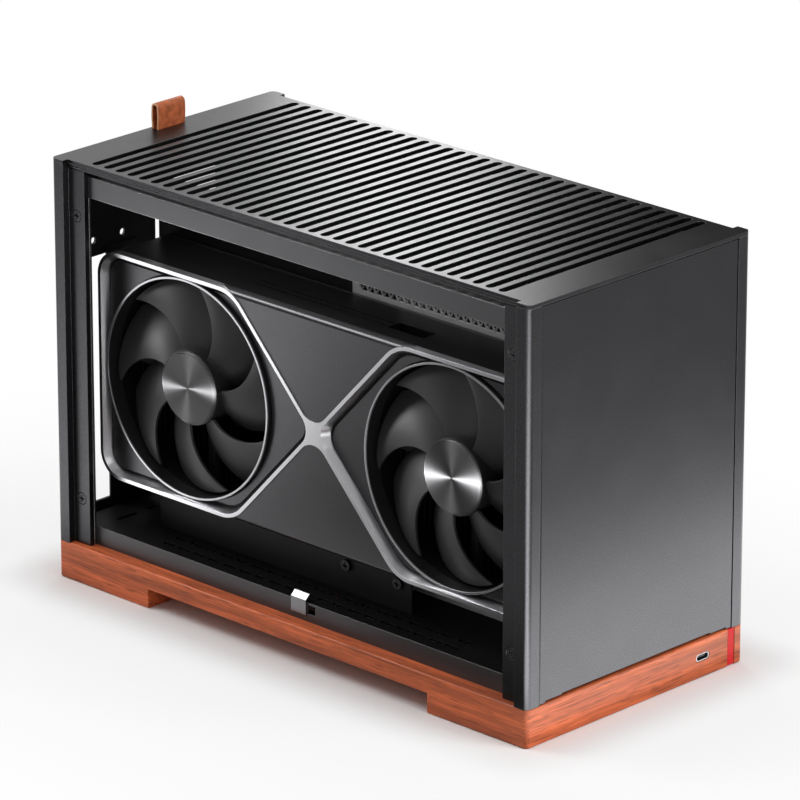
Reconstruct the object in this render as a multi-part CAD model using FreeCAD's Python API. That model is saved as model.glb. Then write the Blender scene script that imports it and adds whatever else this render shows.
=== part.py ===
import FreeCAD, Part
import math
import os

# Small computer case on a wooden plinth, millimetres.
# Origin: middle of the underside. +X is the plain front, -Y the open card side, +Z is up.

V = FreeCAD.Vector
UP = V(0, 0, 1)

# overall size of the case without the pull tab
LENGTH = 328.0
WIDTH = 157.0
HEIGHT = 225.0
HX = LENGTH / 2
HY = WIDTH / 2
EDGE_R = 3.0
SHEET = 1.2

# clearances
FIT = 0.1
EASE = 0.3
SHAFT_FIT = 0.05

# wooden plinth: two feet, a cross channel and a window under the floor
BASE_H = 20.0
BASE_EDGE = 0.5
FOOT_LEN = 66.0
CHANNEL_X = HX - FOOT_LEN
CHANNEL_H = 10.4
END_WALL = 46.0
SIDE_WALL = 21.5
WINDOW_X = HX - END_WALL
WINDOW_Y = HY - SIDE_WALL
PAD_R = 8.0
PAD_T = 1.2
PAD_IN_X = 23.0
PAD_IN_Y = 20.5
PAD_X = HX - PAD_IN_X
PAD_Y = HY - PAD_IN_Y
BASE_SCREW_IN_X = 28.0
BASE_SCREW_IN_Y = 14.0
BASE_SCREW_X = CHANNEL_X - BASE_SCREW_IN_X
BASE_SCREW_Y = HY - BASE_SCREW_IN_Y

# port and key at the front of the plinth, measured in from the front and the right side
PORT_IN = 29.8
PORT_Y = HY - PORT_IN
PORT_Z = 10.8
PORT_W = 9.4
PORT_H = 3.7
PORT_WALL = 0.45
POCKET_FRONT = 11.0
POCKET_LEN = 21.0
POCKET_SIDE = 4.0
POCKET_W = 36.5
POCKET_X1 = HX - POCKET_FRONT
POCKET_X0 = POCKET_X1 - POCKET_LEN
POCKET_Y1 = HY - POCKET_SIDE
POCKET_Y0 = POCKET_Y1 - POCKET_W
POCKET_Z = 4.0
BOARD_IN = 10.0
BOARD_X = POCKET_X1 - BOARD_IN
BOARD_T = 1.6
KEY_IN = 8.85
KEY_Y = HY - KEY_IN
KEY_W = 4.9
KEY_DEPTH = 5.5
KEY_EASE = 0.2
KEY_STEM_R = 1.5
KEY_COLLAR_R = 3.0
KEY_COLLAR_T = 1.0
KEY_TRAVEL = 1.2
KEY_Z = BASE_H / 2

# top plate
TOP_T = 2.0
TOP_SET = 3.6
TOP_SKIRT_T = 2.4
TOP_SKIRT_H = 2.0
TOP_SKIRT_Z = HEIGHT - TOP_T - TOP_SKIRT_H
SLOT_PITCH = 8.45
SLOT_W = 4.9
SLOT_SIDE = 6.4
SLOT_LEN = WIDTH - 2 * SLOT_SIDE
SLOT_SHIFT = -0.2
SLOT_MARGIN = 20.0
SLOT_COUNT = int((LENGTH - 2 * SLOT_MARGIN) / SLOT_PITCH)
PIN_R = 2.0
PIN_LEN = 8.0

# leather loop in the top plate
TAB_IN = 3.5
TAB_X = -HX + TAB_IN
TAB_W = 19.2
TAB_RISE = 13.5
TAB_T = 1.2
TAB_PIN_R = 1.1
TAB_PIN_LEN = 27.0
TAB_NOTCH = 5.0
TAB_NOTCH_W = 32.0

# corner posts: block, side flange with screws, end flange behind the panels
POST = 8.5
POST_TOP = HEIGHT - TOP_T
FLANGE_SET = 4.0
FLANGE_T = 3.0
FLANGE_REACH = 19.7
FLANGE_DROP = 2.6
FLANGE_TOP = POST_TOP - FLANGE_DROP
END_SET = 2.0
END_T = 3.0
END_REACH = 17.0
SCREW_IN = 14.0
SCREW_UP = 24.6
SCREW_DOWN = 26.7
SCREW_Z = (BASE_H + SCREW_UP, POST_TOP - SCREW_DOWN)
HEAD_R = 3.0
HEAD_T = 1.6
SHANK_R = 1.35
CROSS_LEN = 3.4
CROSS_W = 0.7
CROSS_DEPTH = 0.8
END_SCREW_IN = 13.0
END_SCREW_UP = 17.0
END_SCREW_DOWN = 15.0
END_SCREW_Z = (BASE_H + END_SCREW_UP, POST_TOP - END_SCREW_DOWN)

# inverted U frames behind the side flanges
FRAME_SET = FLANGE_SET + FLANGE_T
FRAME_T = 1.5
RAIL_DROP = 7.6
RAIL_H = 10.9
RAIL_Z1 = HEIGHT - RAIL_DROP
RAIL_Z0 = RAIL_Z1 - RAIL_H
RAIL_LEDGE = 8.0
LEDGE_END = 24.0

# floor tray
FLOOR_H = 10.0
FLOOR_TOP = BASE_H + FLOOR_H
FLOOR_END = 5.4
FLOOR_X = HX - FLOOR_END
FLOOR_Y = HY - FRAME_SET - FRAME_T
FOOT_OVER = 12.0
FOOT_X = CHANNEL_X + FOOT_OVER
FOOT_REACH = 10.0
VENT_PITCH = 11.0
VENT_LEN = 8.0
VENT_W = 2.4
VENT_END = 15.0
VENT_COUNT = int((WINDOW_X - VENT_END) / VENT_PITCH)
VENT_IN = (16.5, 25.5, 72.5, 98.5, 124.5)
CLIP_X = 2.2
CLIP_W = 10.4
CLIP_T = 1.0
CLIP_UP = 3.5
CLIP_Z = BASE_H + CLIP_UP
NOTCH_W = 5.0
NOTCH_H = 4.5

# graphics card, between the rear panel and the front, over the floor
CARD_X = 4.2
CARD_UP = 86.0
CARD_Z = FLOOR_TOP + CARD_UP
CARD_IN = 16.5
CARD_D = 40.0
CARD_Y0 = -HY + CARD_IN
CARD_Y1 = CARD_Y0 + CARD_D
CARD_END = 11.0
CARD_P = HX - CARD_END
CARD_Q = 61.0
CARD_CORNER = 14.0
BAY_LEN = 96.5
BAY_KNEE = CARD_P - BAY_LEN
BAY_TIP = -1.2
BAY_BEND = 22.0
TIP_R = 9.3
LIP = 2.0
DRAFT = 1.8
FRAME_D = 5.0
HUB = 12.0
PLATE_SET = 0.6
PLATE_TIP_R = 10.5
PLATE_EDGE_R = 3.0
BAY_PLATE_T = 0.8
BAY_PLATE_GAP = 1.5
BAY_PLATE_CLEAR = 0.6
BACK_T = 2.0
FAN_IN = 61.6
FAN_P = CARD_P - FAN_IN
BORE_R = 56.8
RING_R = 57.9
RING_SET = 1.6
RING_D = 8.4
RING_Y0 = CARD_Y0 + RING_SET
RING_Y1 = RING_Y0 + RING_D
ROTOR_R = 19.5
ROTOR_SET = 4.4
ROTOR_D = 13.6
ROTOR_Y0 = CARD_Y0 + ROTOR_SET
ROTOR_Y1 = ROTOR_Y0 + ROTOR_D
CAP_R = 18.8
CAP_T = 1.6
CAP_GROOVE_R = 18.0
CAP_GROOVE_W = 0.4
CAP_GROOVE_D = 0.5
BLADE_R = 55.2
BLADE_T = 1.4
BLADES = 7
CAMBER = 0.08
BLADE_PHASE = -19.0
BLADE_STATIONS = (
    (18.0, 0.0, 20.0, 31.0),
    (32.0, 10.5, 29.0, 20.0),
    (45.0, 25.5, 38.0, 14.0),
    (58.0, 44.0, 47.0, 10.5),
)
SHAFT_R = 2.0
MOUNT_R = 17.0
MOUNT_GAP = 1.0
MOUNT_D = 4.0
MOUNT_Y0 = ROTOR_Y1 + MOUNT_GAP
MOUNT_Y1 = MOUNT_Y0 + MOUNT_D
SPOKE_W = 4.0
FIN_GAP = 2.0
FIN_BACK = 1.0
FIN_Y0 = MOUNT_Y1 + FIN_GAP
FIN_Y1 = CARD_Y1 - BACK_T - FIN_BACK
FIN_PITCH = 4.0
FIN_T = 0.9
FIN_TIE = 28.0
FIN_TIE_W = 3.0
LINE_X = (-56.2, 35.8)
LINE_IN = (16.0, 20.5)
LINE_W = 1.2
LINE_D = 0.8
PLUG_X = (36.8, 60.8)
PLUG_IN = (14.6, 23.6)
PLUG_D = 8.0

# rear and front panels
REAR_T = 1.5
REAR_OUT = END_SET - REAR_T
REAR_IN = -HX + END_SET
PANEL_GAP = 0.3
PANEL_DROP = 0.6
PANEL_TOP = POST_TOP - PANEL_DROP
FRONT_EDGE = 0.7
FRONT_STEP_IN = (4.0, 16.0)
FRONT_RISE = (0.7, 1.6, 2.2)
WINDOW_SIDE = 1.5
WINDOW_BACK = 0.2
WINDOW_UP = 4.0
WINDOW_TOP = 50.5
CARD_WINDOW = (CARD_Y0 + WINDOW_SIDE, CARD_Y1 + WINDOW_BACK, FLOOR_TOP + WINDOW_UP, CARD_Z + WINDOW_TOP)
BRACKET_HOLE_UP = 59.0
BRACKET_HOLE_Z = CARD_Z + BRACKET_HOLE_UP
BRACKET_HOLE_R = 1.8
SLOT_PITCH_CARD = 20.32
REAR_VENTS = 14
REAR_VENT_PITCH = 9.0
REAR_VENT_H = 3.5
REAR_VENT_UP = 16.0
REAR_VENT_GAP = 6.35
REAR_VENT_IN = 20.5
REAR_SLOT_IN = 18.0
REAR_SLOT_W = 2.4
REAR_SLOTS = ((6.0, 19.0), (27.0, 33.5))

# card bracket and edge contacts
BRACKET_IN = 18.0
BRACKET_T = 1.0
BRACKET_EASE = 0.4
BRACKET_UP = 1.5
BRACKET_OVER = 3.5
ARM_Z = (-32.0, 34.0)
ARM_IN = (10.0, 3.0)
EDGE_IN = 49.0
EDGE_LEN = 84.0
EDGE_X0 = REAR_IN + EDGE_IN
EDGE_X1 = EDGE_X0 + EDGE_LEN
EDGE_SET = 3.0
EDGE_Y = CARD_Y1 - EDGE_SET
EDGE_T = 1.6
EDGE_H = 7.5
EDGE_Z = CARD_Z - CARD_Q - EDGE_H

# divider, screen and brackets inside; the board's holes set the divider's length
DIVIDER_GAP = 2.0
DIVIDER_Y = CARD_Y1 + DIVIDER_GAP
BOARD_EDGE_GAP = 1.5
BOARD_HOLE_IN = 10.16
BOARD_HOLE_DX = 154.94
STANDOFF_X0 = REAR_IN + BOARD_EDGE_GAP + BOARD_HOLE_IN
STANDOFF_X1 = STANDOFF_X0 + BOARD_HOLE_DX
STANDOFF_R = 3.0
STANDOFF_H = 6.35
STANDOFF_HOLE = 1.35
STANDOFF_UP = 12.35
STANDOFF_DOWN = 6.17
DIVIDER_IN = 14.4
DIVIDER_OVER = 17.4
DIVIDER_DROP = 0.5
DIVIDER_FOOT = 10.0
DIVIDER_X0 = REAR_IN + DIVIDER_IN
DIVIDER_X1 = STANDOFF_X1 + DIVIDER_OVER
DIVIDER_TOP = RAIL_Z0 - DIVIDER_DROP
STANDOFF_Z = (FLOOR_TOP + STANDOFF_UP, DIVIDER_TOP - STANDOFF_DOWN)
EAR_REACH = 9.0
EAR_H = 14.0
IO_GAP = 11.2
IO_Y = DIVIDER_Y + IO_GAP
IO_W = 44.45
IO_UP = 10.0
IO_Z = FLOOR_TOP + IO_UP
IO_H = 158.75
SCREEN_BACK = 30.4
SCREEN_END = 14.0
SCREEN_OVER = 2.0
SCREEN_X0 = DIVIDER_X1 - SCREEN_BACK
SCREEN_X1 = HX - SCREEN_END
SCREEN_TOP = RAIL_Z0 + SCREEN_OVER
TRI_PITCH = 5.0
TRI_SIDE = 4.2
TRI_RISE = 4.0
TRI_GAP = 1.2
TRI_IN = 6.0
TRI_END = 2.0
TRI_DOWN = 29.2
TRI_Z = SCREEN_TOP - TRI_DOWN
TRI_COUNT = int((SCREEN_X1 - SCREEN_X0 - TRI_IN - TRI_END) / TRI_PITCH)
PSU_GAP = 24.0
PSU_X = DIVIDER_X1 + PSU_GAP
PSU_T = 1.5
PSU_W = 80.0
PSU_H = 140.0
PSU_Y1 = DIVIDER_Y + PSU_W
PSU_TOP = FLOOR_TOP + PSU_H
PSU_WINDOW = (40.0, 96.0)
PSU_HOLES = (51.5, 113.0)
PSU_HOLE_R = 1.9
SOCKET_END = 4.0
SOCKET_SIDE = (5.0, 3.4)
SOCKET_H = 11.0
SOCKET_X0 = EDGE_X0 - SOCKET_END
SOCKET_X1 = EDGE_X1 + SOCKET_END
RISER_END = 5.0
RISER_LEN = 178.0
RISER_IN = 16.0
RISER_H = 20.0
RISER_SHELF_H = 12.0
RISER_X0 = SOCKET_X0 - RISER_END
RISER_X1 = RISER_X0 + RISER_LEN
RISER_SHELF_X1 = SOCKET_X1 + RISER_END
RISER_Y = CARD_Y0 + RISER_IN
RISER_TOP = FLOOR_TOP + RISER_H
RISER_SHELF_Z = FLOOR_TOP + RISER_SHELF_H
RISER_SCREW_IN = (44.3, 8.7)
RISER_SCREW_UP = 14.4
RISER_SCREW_LEN = 4.0

# right-hand side panel
SIDE_T = 1.5
SIDE_UP = 0.4
SIDE_DROP = 4.4
SIDE_X = HX - POST - EASE
SIDE_Z0 = BASE_H + SIDE_UP
SIDE_Z1 = HEIGHT - SIDE_DROP
SIDE_PITCH = 11.0
SIDE_SLOT_END = 22.0
SIDE_SLOTS = int(2 * (SIDE_X - SIDE_SLOT_END) / SIDE_PITCH)
SIDE_SLOT_UP = 40.0
SIDE_SLOT_DOWN = 110.0
MAGNET_R = 3.5
MAGNET_UP = 52.0
MAGNET_DOWN = 57.0
MAGNET_Z = (BASE_H + MAGNET_UP, HEIGHT - MAGNET_DOWN)


def box(x0, x1, y0, y1, z0, z1):
    """Block between two opposite corners."""
    return Part.makeBox(x1 - x0, y1 - y0, z1 - z0, V(x0, y0, z0))


def rod(x, y, z, axis, radius, length):
    """Round bar from a point along an axis."""
    return Part.makeCylinder(radius, length, V(x, y, z), V(*axis))


def loop(corners, radius=0.0):
    """Closed wire through flat corners; one radius, or one per corner, rounds them."""
    count = len(corners)
    radii = list(radius) if isinstance(radius, (list, tuple)) else [radius] * count
    starts = []
    middles = []
    ends = []
    for i in range(count):
        corner = corners[i]
        before = V(corners[i - 1] - corner).normalize()
        after = V(corners[(i + 1) % count] - corner).normalize()
        half = before.getAngle(after) / 2
        cut = radii[i] / math.tan(half)
        inward = V(before + after).normalize()
        starts.append(corner + before * cut)
        ends.append(corner + after * cut)
        middles.append(corner + inward * (radii[i] / math.sin(half) - radii[i]))
    edges = []
    for i in range(count):
        if radii[i] > 0:
            edges.append(Part.Arc(starts[i], middles[i], ends[i]).toShape())
        following = starts[(i + 1) % count]
        if (following - ends[i]).Length > 1e-6:
            edges.append(Part.makeLine(ends[i], following))
    return Part.Wire(edges)


def prism(wire, travel):
    """Solid swept from a flat wire along a vector."""
    return Part.Face(wire).extrude(V(*travel))


def joined(shapes):
    """One solid from touching solids."""
    return shapes[0].fuse(shapes[1:]).removeSplitter()


def group(shapes):
    """Separate solids kept as one named group."""
    return Part.makeCompound(shapes)


def mirror_x(shape):
    """Copy on the other end of the case."""
    return shape.mirror(V(0, 0, 0), V(1, 0, 0))


def mirror_y(shape):
    """Copy on the other side of the case."""
    return shape.mirror(V(0, 0, 0), V(0, 1, 0))


def four_ways(shape):
    """The shape and its three mirror copies."""
    pair = [shape, mirror_x(shape)]
    return pair + [mirror_y(item) for item in pair]


def slot_y(x, width, length, z0, z1):
    """Round-ended slot tool that runs along Y and cuts along Z."""
    r = width / 2
    h = length / 2
    wire = loop([V(x - r, -h, z0), V(x + r, -h, z0), V(x + r, h, z0), V(x - r, h, z0)], r * 0.999)
    return prism(wire, (0, 0, z1 - z0))


def plinth_outline(z0, z1):
    """Rounded plan outline of the case as a block."""
    corners = [V(-HX, -HY, z0), V(HX, -HY, z0), V(HX, HY, z0), V(-HX, HY, z0)]
    return prism(loop(corners, EDGE_R), (0, 0, z1 - z0))


def base_plinth():
    """Wooden ring with a cross channel, board pocket, port bore and key groove."""
    blank = plinth_outline(0, BASE_H)
    rims = [e for e in blank.Edges if e.BoundBox.ZLength < 1e-6]
    wood = blank.makeChamfer(BASE_EDGE, rims)
    half = KEY_W / 2 + KEY_EASE
    bore_w = PORT_W / 2 + EASE
    bore_h = PORT_H / 2 + EASE
    bore = loop(
        [
            V(POCKET_X1 - 1, PORT_Y - bore_w, PORT_Z - bore_h),
            V(POCKET_X1 - 1, PORT_Y + bore_w, PORT_Z - bore_h),
            V(POCKET_X1 - 1, PORT_Y + bore_w, PORT_Z + bore_h),
            V(POCKET_X1 - 1, PORT_Y - bore_w, PORT_Z + bore_h),
        ],
        bore_h * 0.999,
    )
    tools = [
        box(-CHANNEL_X, CHANNEL_X, -HY - 1, HY + 1, -1, CHANNEL_H),
        box(-WINDOW_X, WINDOW_X, -WINDOW_Y, WINDOW_Y, -1, BASE_H + 1),
        box(POCKET_X0, POCKET_X1, POCKET_Y0, POCKET_Y1, POCKET_Z, BASE_H + 1),
        box(HX - KEY_DEPTH, HX + 1, KEY_Y - half, KEY_Y + half, -1, BASE_H + 1),
        rod(POCKET_X1 - 1, KEY_Y, KEY_Z, (1, 0, 0), KEY_STEM_R + FIT, HX - POCKET_X1),
        prism(bore, (HX - POCKET_X1 + 2, 0, 0)),
    ]
    for x in (-PAD_X, PAD_X):
        for y in (-PAD_Y, PAD_Y):
            tools.append(rod(x, y, -1, (0, 0, 1), PAD_R + EASE, 1 + PAD_T))
    for x in (-BASE_SCREW_X, BASE_SCREW_X):
        for y in (-BASE_SCREW_Y, BASE_SCREW_Y):
            tools.append(rod(x, y, CHANNEL_H - 1, (0, 0, 1), HEAD_R + EASE, 1 + HEAD_T + 0.6))
            tools.append(rod(x, y, CHANNEL_H, (0, 0, 1), SHANK_R + EASE, BASE_H))
    return wood.cut(tools)


def foot_pads():
    """Four rubber discs let into the plinth flush with its underside."""
    return group(four_ways(rod(PAD_X, PAD_Y, 0, (0, 0, 1), PAD_R, PAD_T)))


def screw_body(length, cross):
    """Screw on the Z axis: the flat head's seat lies at z = 0 and the shank runs along +Z."""
    head = Part.makeCylinder(HEAD_R, HEAD_T, V(0, 0, -HEAD_T))
    body = joined([head, Part.makeCylinder(SHANK_R, length)])
    if not cross:
        return body
    long = CROSS_LEN / 2
    thin = CROSS_W / 2
    z0 = -HEAD_T - 1
    z1 = -HEAD_T + CROSS_DEPTH
    return body.cut([box(-long, long, -thin, thin, z0, z1), box(-thin, thin, -long, long, z0, z1)])


def screw(x, y, z, axis, length, cross=False):
    """Screw with its seat at a point and its shank along an axis; seen heads have a cross slot."""
    shape = screw_body(length, cross)
    turn = FreeCAD.Rotation(UP, V(*axis))
    shape.Placement = FreeCAD.Placement(V(x, y, z), turn)
    return shape


def base_screws():
    """Four screws from the channel up into the tray feet."""
    seat = CHANNEL_H + HEAD_T + 0.6
    length = BASE_H + SHEET - seat
    spots = [(x, y) for x in (-BASE_SCREW_X, BASE_SCREW_X) for y in (-BASE_SCREW_Y, BASE_SCREW_Y)]
    return group([screw(x, y, seat, (0, 0, 1), length) for x, y in spots])


def port_loop(x, w, h):
    """Round-ended outline of the port on a plane across X."""
    corners = [
        V(x, PORT_Y - w / 2, PORT_Z - h / 2),
        V(x, PORT_Y + w / 2, PORT_Z - h / 2),
        V(x, PORT_Y + w / 2, PORT_Z + h / 2),
        V(x, PORT_Y - w / 2, PORT_Z + h / 2),
    ]
    return loop(corners, h / 2 * 0.999)


def port_nodes():
    """Metal port shell, its tongue, the board behind it, the switch and the key."""
    back = BOARD_X + BOARD_T
    face = HX - 0.2
    inner_w = PORT_W - 2 * PORT_WALL
    inner_h = PORT_H - 2 * PORT_WALL
    shell = prism(port_loop(back, PORT_W, PORT_H), (face - back, 0, 0))
    shell = shell.cut(prism(port_loop(back + 4, inner_w, inner_h), (face, 0, 0)))
    tongue = box(back + 4, face - 1.2, PORT_Y - 3.2, PORT_Y + 3.2, PORT_Z - 0.35, PORT_Z + 0.35)
    board = box(BOARD_X, back, POCKET_Y0 + 0.5, POCKET_Y1 - 0.5, POCKET_Z, BASE_H - 1)
    collar_x = POCKET_X1 - KEY_COLLAR_T
    switch_x = collar_x - KEY_TRAVEL - 1.2
    stem_end = switch_x - 0.7
    switch = box(back, switch_x, KEY_Y - 3.5, KEY_Y + 3.5, KEY_Z - 3.5, KEY_Z + 3.5)
    hole_x = stem_end - KEY_TRAVEL - 0.5
    switch = switch.cut(rod(hole_x, KEY_Y, KEY_Z, (1, 0, 0), KEY_STEM_R + SHAFT_FIT, 20))
    bar_x = HX - KEY_DEPTH + KEY_TRAVEL + EASE
    half = KEY_W / 2
    bar = box(bar_x, HX - 0.1, KEY_Y - half, KEY_Y + half, 0.5, BASE_H - EASE)
    ends = [e for e in bar.Edges if e.BoundBox.XMin > HX - 0.2]
    bar = bar.makeChamfer(0.35, ends)
    stem = rod(stem_end, KEY_Y, KEY_Z, (1, 0, 0), KEY_STEM_R, bar_x + 1 - stem_end)
    collar = rod(collar_x, KEY_Y, KEY_Z, (1, 0, 0), KEY_COLLAR_R, KEY_COLLAR_T)
    return {
        "port_shell": shell,
        "port_tongue": tongue,
        "io_board": board,
        "power_switch": switch,
        "power_key": joined([bar, stem, collar]),
    }


def post():
    """Front right corner post: rounded block, side flange and end flange."""
    corners = [
        V(HX, HY, BASE_H),
        V(HX - POST, HY, BASE_H),
        V(HX - POST, HY - POST, BASE_H),
        V(HX, HY - POST, BASE_H),
    ]
    block = prism(loop(corners, [EDGE_R, 0, 0, 0]), (0, 0, POST_TOP - BASE_H))
    face = HY - FLANGE_SET
    side = box(HX - FLANGE_REACH, HX - POST, face - FLANGE_T, face, BASE_H, FLANGE_TOP)
    inner = HX - END_SET
    end = box(inner - END_T, inner, HY - END_REACH, HY - POST, BASE_H, PANEL_TOP)
    tools = [rod(HX - POST / 2, HY - POST / 2, POST_TOP, (0, 0, -1), PIN_R + FIT, PIN_LEN + 1)]
    for z in SCREW_Z:
        tools.append(rod(HX - SCREW_IN, face + 1, z, (0, -1, 0), HEAD_R + EASE, 1 + HEAD_T))
        tools.append(rod(HX - SCREW_IN, face, z, (0, -1, 0), SHANK_R + EASE, 9))
    for z in END_SCREW_Z:
        tools.append(rod(inner + 1, HY - END_SCREW_IN, z, (-1, 0, 0), SHANK_R + EASE, 9))
    return joined([block, side, end]).cut(tools)


def side_frame():
    """Right-hand inverted U frame: two stiles joined by the top rail with a ledge."""
    y1 = HY - FRAME_SET
    y0 = y1 - FRAME_T
    outer = HX - POST - 0.2
    stile = box(HX - FLANGE_REACH, outer, y0, y1, BASE_H, RAIL_Z1)
    rail = box(-outer, outer, y0, y1, RAIL_Z0, RAIL_Z1)
    reach = HX - LEDGE_END
    ledge = box(-reach, reach, y0 - RAIL_LEDGE, y0, RAIL_Z1 - SHEET, RAIL_Z1)
    holes = []
    for z in SCREW_Z:
        for x in (-HX + SCREW_IN, HX - SCREW_IN):
            holes.append(rod(x, y1 + 1, z, (0, -1, 0), SHANK_R + EASE, 9))
    return joined([stile, mirror_x(stile), rail, ledge]).cut(holes)


def post_screws():
    """Eight cross-head screws, two in each side flange."""
    seat = HY - FLANGE_SET - HEAD_T
    shapes = []
    for z in SCREW_Z:
        shapes += four_ways(screw(HX - SCREW_IN, seat, z, (0, -1, 0), 5, True))
    return group(shapes)


def end_screws(inward):
    """Four screws that hold an end panel to the end flanges; heads sit inside the case."""
    x = HX - END_SET - END_T
    shapes = []
    for z in END_SCREW_Z:
        one = screw(x, HY - END_SCREW_IN, z, (1, 0, 0), END_T - 0.2 + (END_SET - 0.8))
        shapes += [one, mirror_y(one)]
    return group([mirror_x(s) for s in shapes] if inward else shapes)


def floor_tray():
    """Floor plate with turned-down lips, feet on the wood, vents and a notch by each clip."""
    z0 = FLOOR_TOP - SHEET
    pieces = [box(-FLOOR_X, FLOOR_X, -FLOOR_Y, FLOOR_Y, z0, FLOOR_TOP)]
    lip = box(-FLOOR_X, FLOOR_X, FLOOR_Y - SHEET, FLOOR_Y, BASE_H, z0)
    foot = box(-FOOT_X, FOOT_X, FLOOR_Y - FOOT_REACH, FLOOR_Y - SHEET, BASE_H, BASE_H + SHEET)
    end = box(FLOOR_X - SHEET, FLOOR_X, -FLOOR_Y, FLOOR_Y, BASE_H, z0)
    pieces += [lip, mirror_y(lip), foot, mirror_y(foot), end, mirror_x(end)]
    notch_x = CLIP_X + CLIP_W / 2 + 0.6
    notch = box(notch_x, notch_x + NOTCH_W, FLOOR_Y - SHEET - 1, FLOOR_Y + 1, z0 - NOTCH_H, z0)
    tools = [notch, mirror_y(notch)]
    long = VENT_LEN / 2
    wide = VENT_W / 2
    for i in range(-VENT_COUNT, VENT_COUNT + 1):
        x = i * VENT_PITCH
        for inward in VENT_IN:
            y = -HY + inward
            tools.append(box(x - long, x + long, y - wide, y + wide, z0 - 1, FLOOR_TOP + 1))
    slot_x = REAR_IN + REAR_SLOT_IN
    for first, last in REAR_SLOTS:
        y0 = CARD_Y0 + first
        y1 = CARD_Y0 + last
        tools.append(box(slot_x, slot_x + REAR_SLOT_W, y0, y1, z0 - 1, FLOOR_TOP + 1))
    for x in (-BASE_SCREW_X, BASE_SCREW_X):
        for y in (-BASE_SCREW_Y, BASE_SCREW_Y):
            tools.append(rod(x, y, BASE_H - 1, (0, 0, 1), SHANK_R + EASE, 1 + SHEET + 0.5))
    return joined(pieces).cut(tools)


def panel_clips():
    """Two bent spring clips on the tray lips that catch a side panel."""
    y = FLOOR_Y
    t = CLIP_T
    lean = 2.8
    k = t * math.tan(math.pi / 8)
    x0 = CLIP_X - CLIP_W / 2
    knee = FLOOR_TOP + 0.9
    points = [
        V(x0, y, CLIP_Z),
        V(x0, y + t, CLIP_Z),
        V(x0, y + t, knee + k),
        V(x0, y + t - lean, knee + k + lean),
        V(x0, y + t - lean - t * math.sqrt(0.5), knee + k + lean - t * math.sqrt(0.5)),
        V(x0, y, knee),
    ]
    clip = prism(loop(points), (CLIP_W, 0, 0))
    return group([clip, mirror_y(clip)])


def rear_panel():
    """Rear sheet with the board window, the card window, bracket holes and vents."""
    half = HY - POST - PANEL_GAP
    x0 = -HX + REAR_OUT
    sheet = box(x0, x0 + REAR_T, -half, half, BASE_H, PANEL_TOP)
    y0, y1, z0, z1 = CARD_WINDOW
    tools = [
        box(x0 - 1, REAR_IN + 1, IO_Y, IO_Y + IO_W, IO_Z, IO_Z + IO_H),
        box(x0 - 1, REAR_IN + 1, y0, y1, z0, z1),
        box(x0 - 1, REAR_IN + 1, -TAB_NOTCH_W / 2, TAB_NOTCH_W / 2, POST_TOP - TAB_NOTCH, PANEL_TOP + 1),
    ]
    middle = (CARD_Y0 + CARD_Y1) / 2
    for y in (middle - SLOT_PITCH_CARD / 2, middle + SLOT_PITCH_CARD / 2):
        tools.append(rod(x0 - 1, y, BRACKET_HOLE_Z, (1, 0, 0), BRACKET_HOLE_R, 5))
    vent_y0 = IO_Y + IO_W + REAR_VENT_GAP
    vent_y1 = HY - REAR_VENT_IN
    for i in range(REAR_VENTS):
        z = FLOOR_TOP + REAR_VENT_UP + REAR_VENT_PITCH * i
        tools.append(box(x0 - 1, REAR_IN + 1, vent_y0, vent_y1, z, z + REAR_VENT_H))
    for z in END_SCREW_Z:
        for y in (-HY + END_SCREW_IN, HY - END_SCREW_IN):
            tools.append(rod(x0 + 0.4, y, z, (1, 0, 0), SHANK_R + EASE, 5))
    return sheet.cut(tools)


def front_panel():
    """Plain front plate with bevelled edges and a stepped lower edge."""
    half = HY - POST - PANEL_GAP
    x0 = HX - END_SET
    low, middle, high = [BASE_H + rise for rise in FRONT_RISE]
    outer, inner = [half - step for step in FRONT_STEP_IN]
    steps = [(half, low), (outer, low), (outer, middle), (inner, middle), (inner, high)]
    lower = [V(x0, y, z) for y, z in steps]
    mirrored = [V(x0, -p.y, p.z) for p in reversed(lower)]
    corners = [V(x0, half, PANEL_TOP)] + lower + mirrored + [V(x0, -half, PANEL_TOP)]
    plate = prism(loop(corners), (END_SET, 0, 0))
    rims = [e for e in plate.Edges if e.BoundBox.XMin > HX - 1e-3 and e.BoundBox.ZLength > 100]
    plate = plate.makeChamfer(FRONT_EDGE, rims)
    holes = []
    for z in END_SCREW_Z:
        for y in (-HY + END_SCREW_IN, HY - END_SCREW_IN):
            holes.append(rod(x0 - 1, y, z, (1, 0, 0), SHANK_R + EASE, 1 + END_SET - 0.6))
    return plate.cut(holes)


def top_panel():
    """Slotted top plate with set-back ridged long edges and the loop's slot."""
    plate = plinth_outline(POST_TOP, HEIGHT)
    span = HX - POST
    edge = HY - TOP_SET
    back = box(-span, span, edge, HY + 1, POST_TOP - 1, HEIGHT + 1)
    skirt = box(-span + EASE, span - EASE, edge - TOP_SKIRT_T, edge, TOP_SKIRT_Z, POST_TOP)
    plate = joined([plate.cut([back, mirror_y(back)]), skirt, mirror_y(skirt)])
    tools = []
    first = SLOT_SHIFT - SLOT_PITCH * (SLOT_COUNT - 1) / 2
    for i in range(SLOT_COUNT):
        tools.append(slot_y(first + SLOT_PITCH * i, SLOT_W, SLOT_LEN, POST_TOP - 1, HEIGHT + 1))
    for z in (TOP_SKIRT_Z + 0.9, TOP_SKIRT_Z + 2.1):
        ridge = box(-span - 1, span + 1, edge - 0.4, edge + 1, z, z + 0.4)
        ridge = ridge.common(box(-span + EASE, span - EASE, -HY, HY, 0, HEIGHT + 1))
        tools += [ridge, mirror_y(ridge)]
    wide = TAB_T + TAB_PIN_R + EASE
    deep = TAB_W / 2 + EASE
    tools.append(box(TAB_X - wide, TAB_X + wide, -deep, deep, POST_TOP - 1, HEIGHT + 1))
    return plate.cut(tools)


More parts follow.
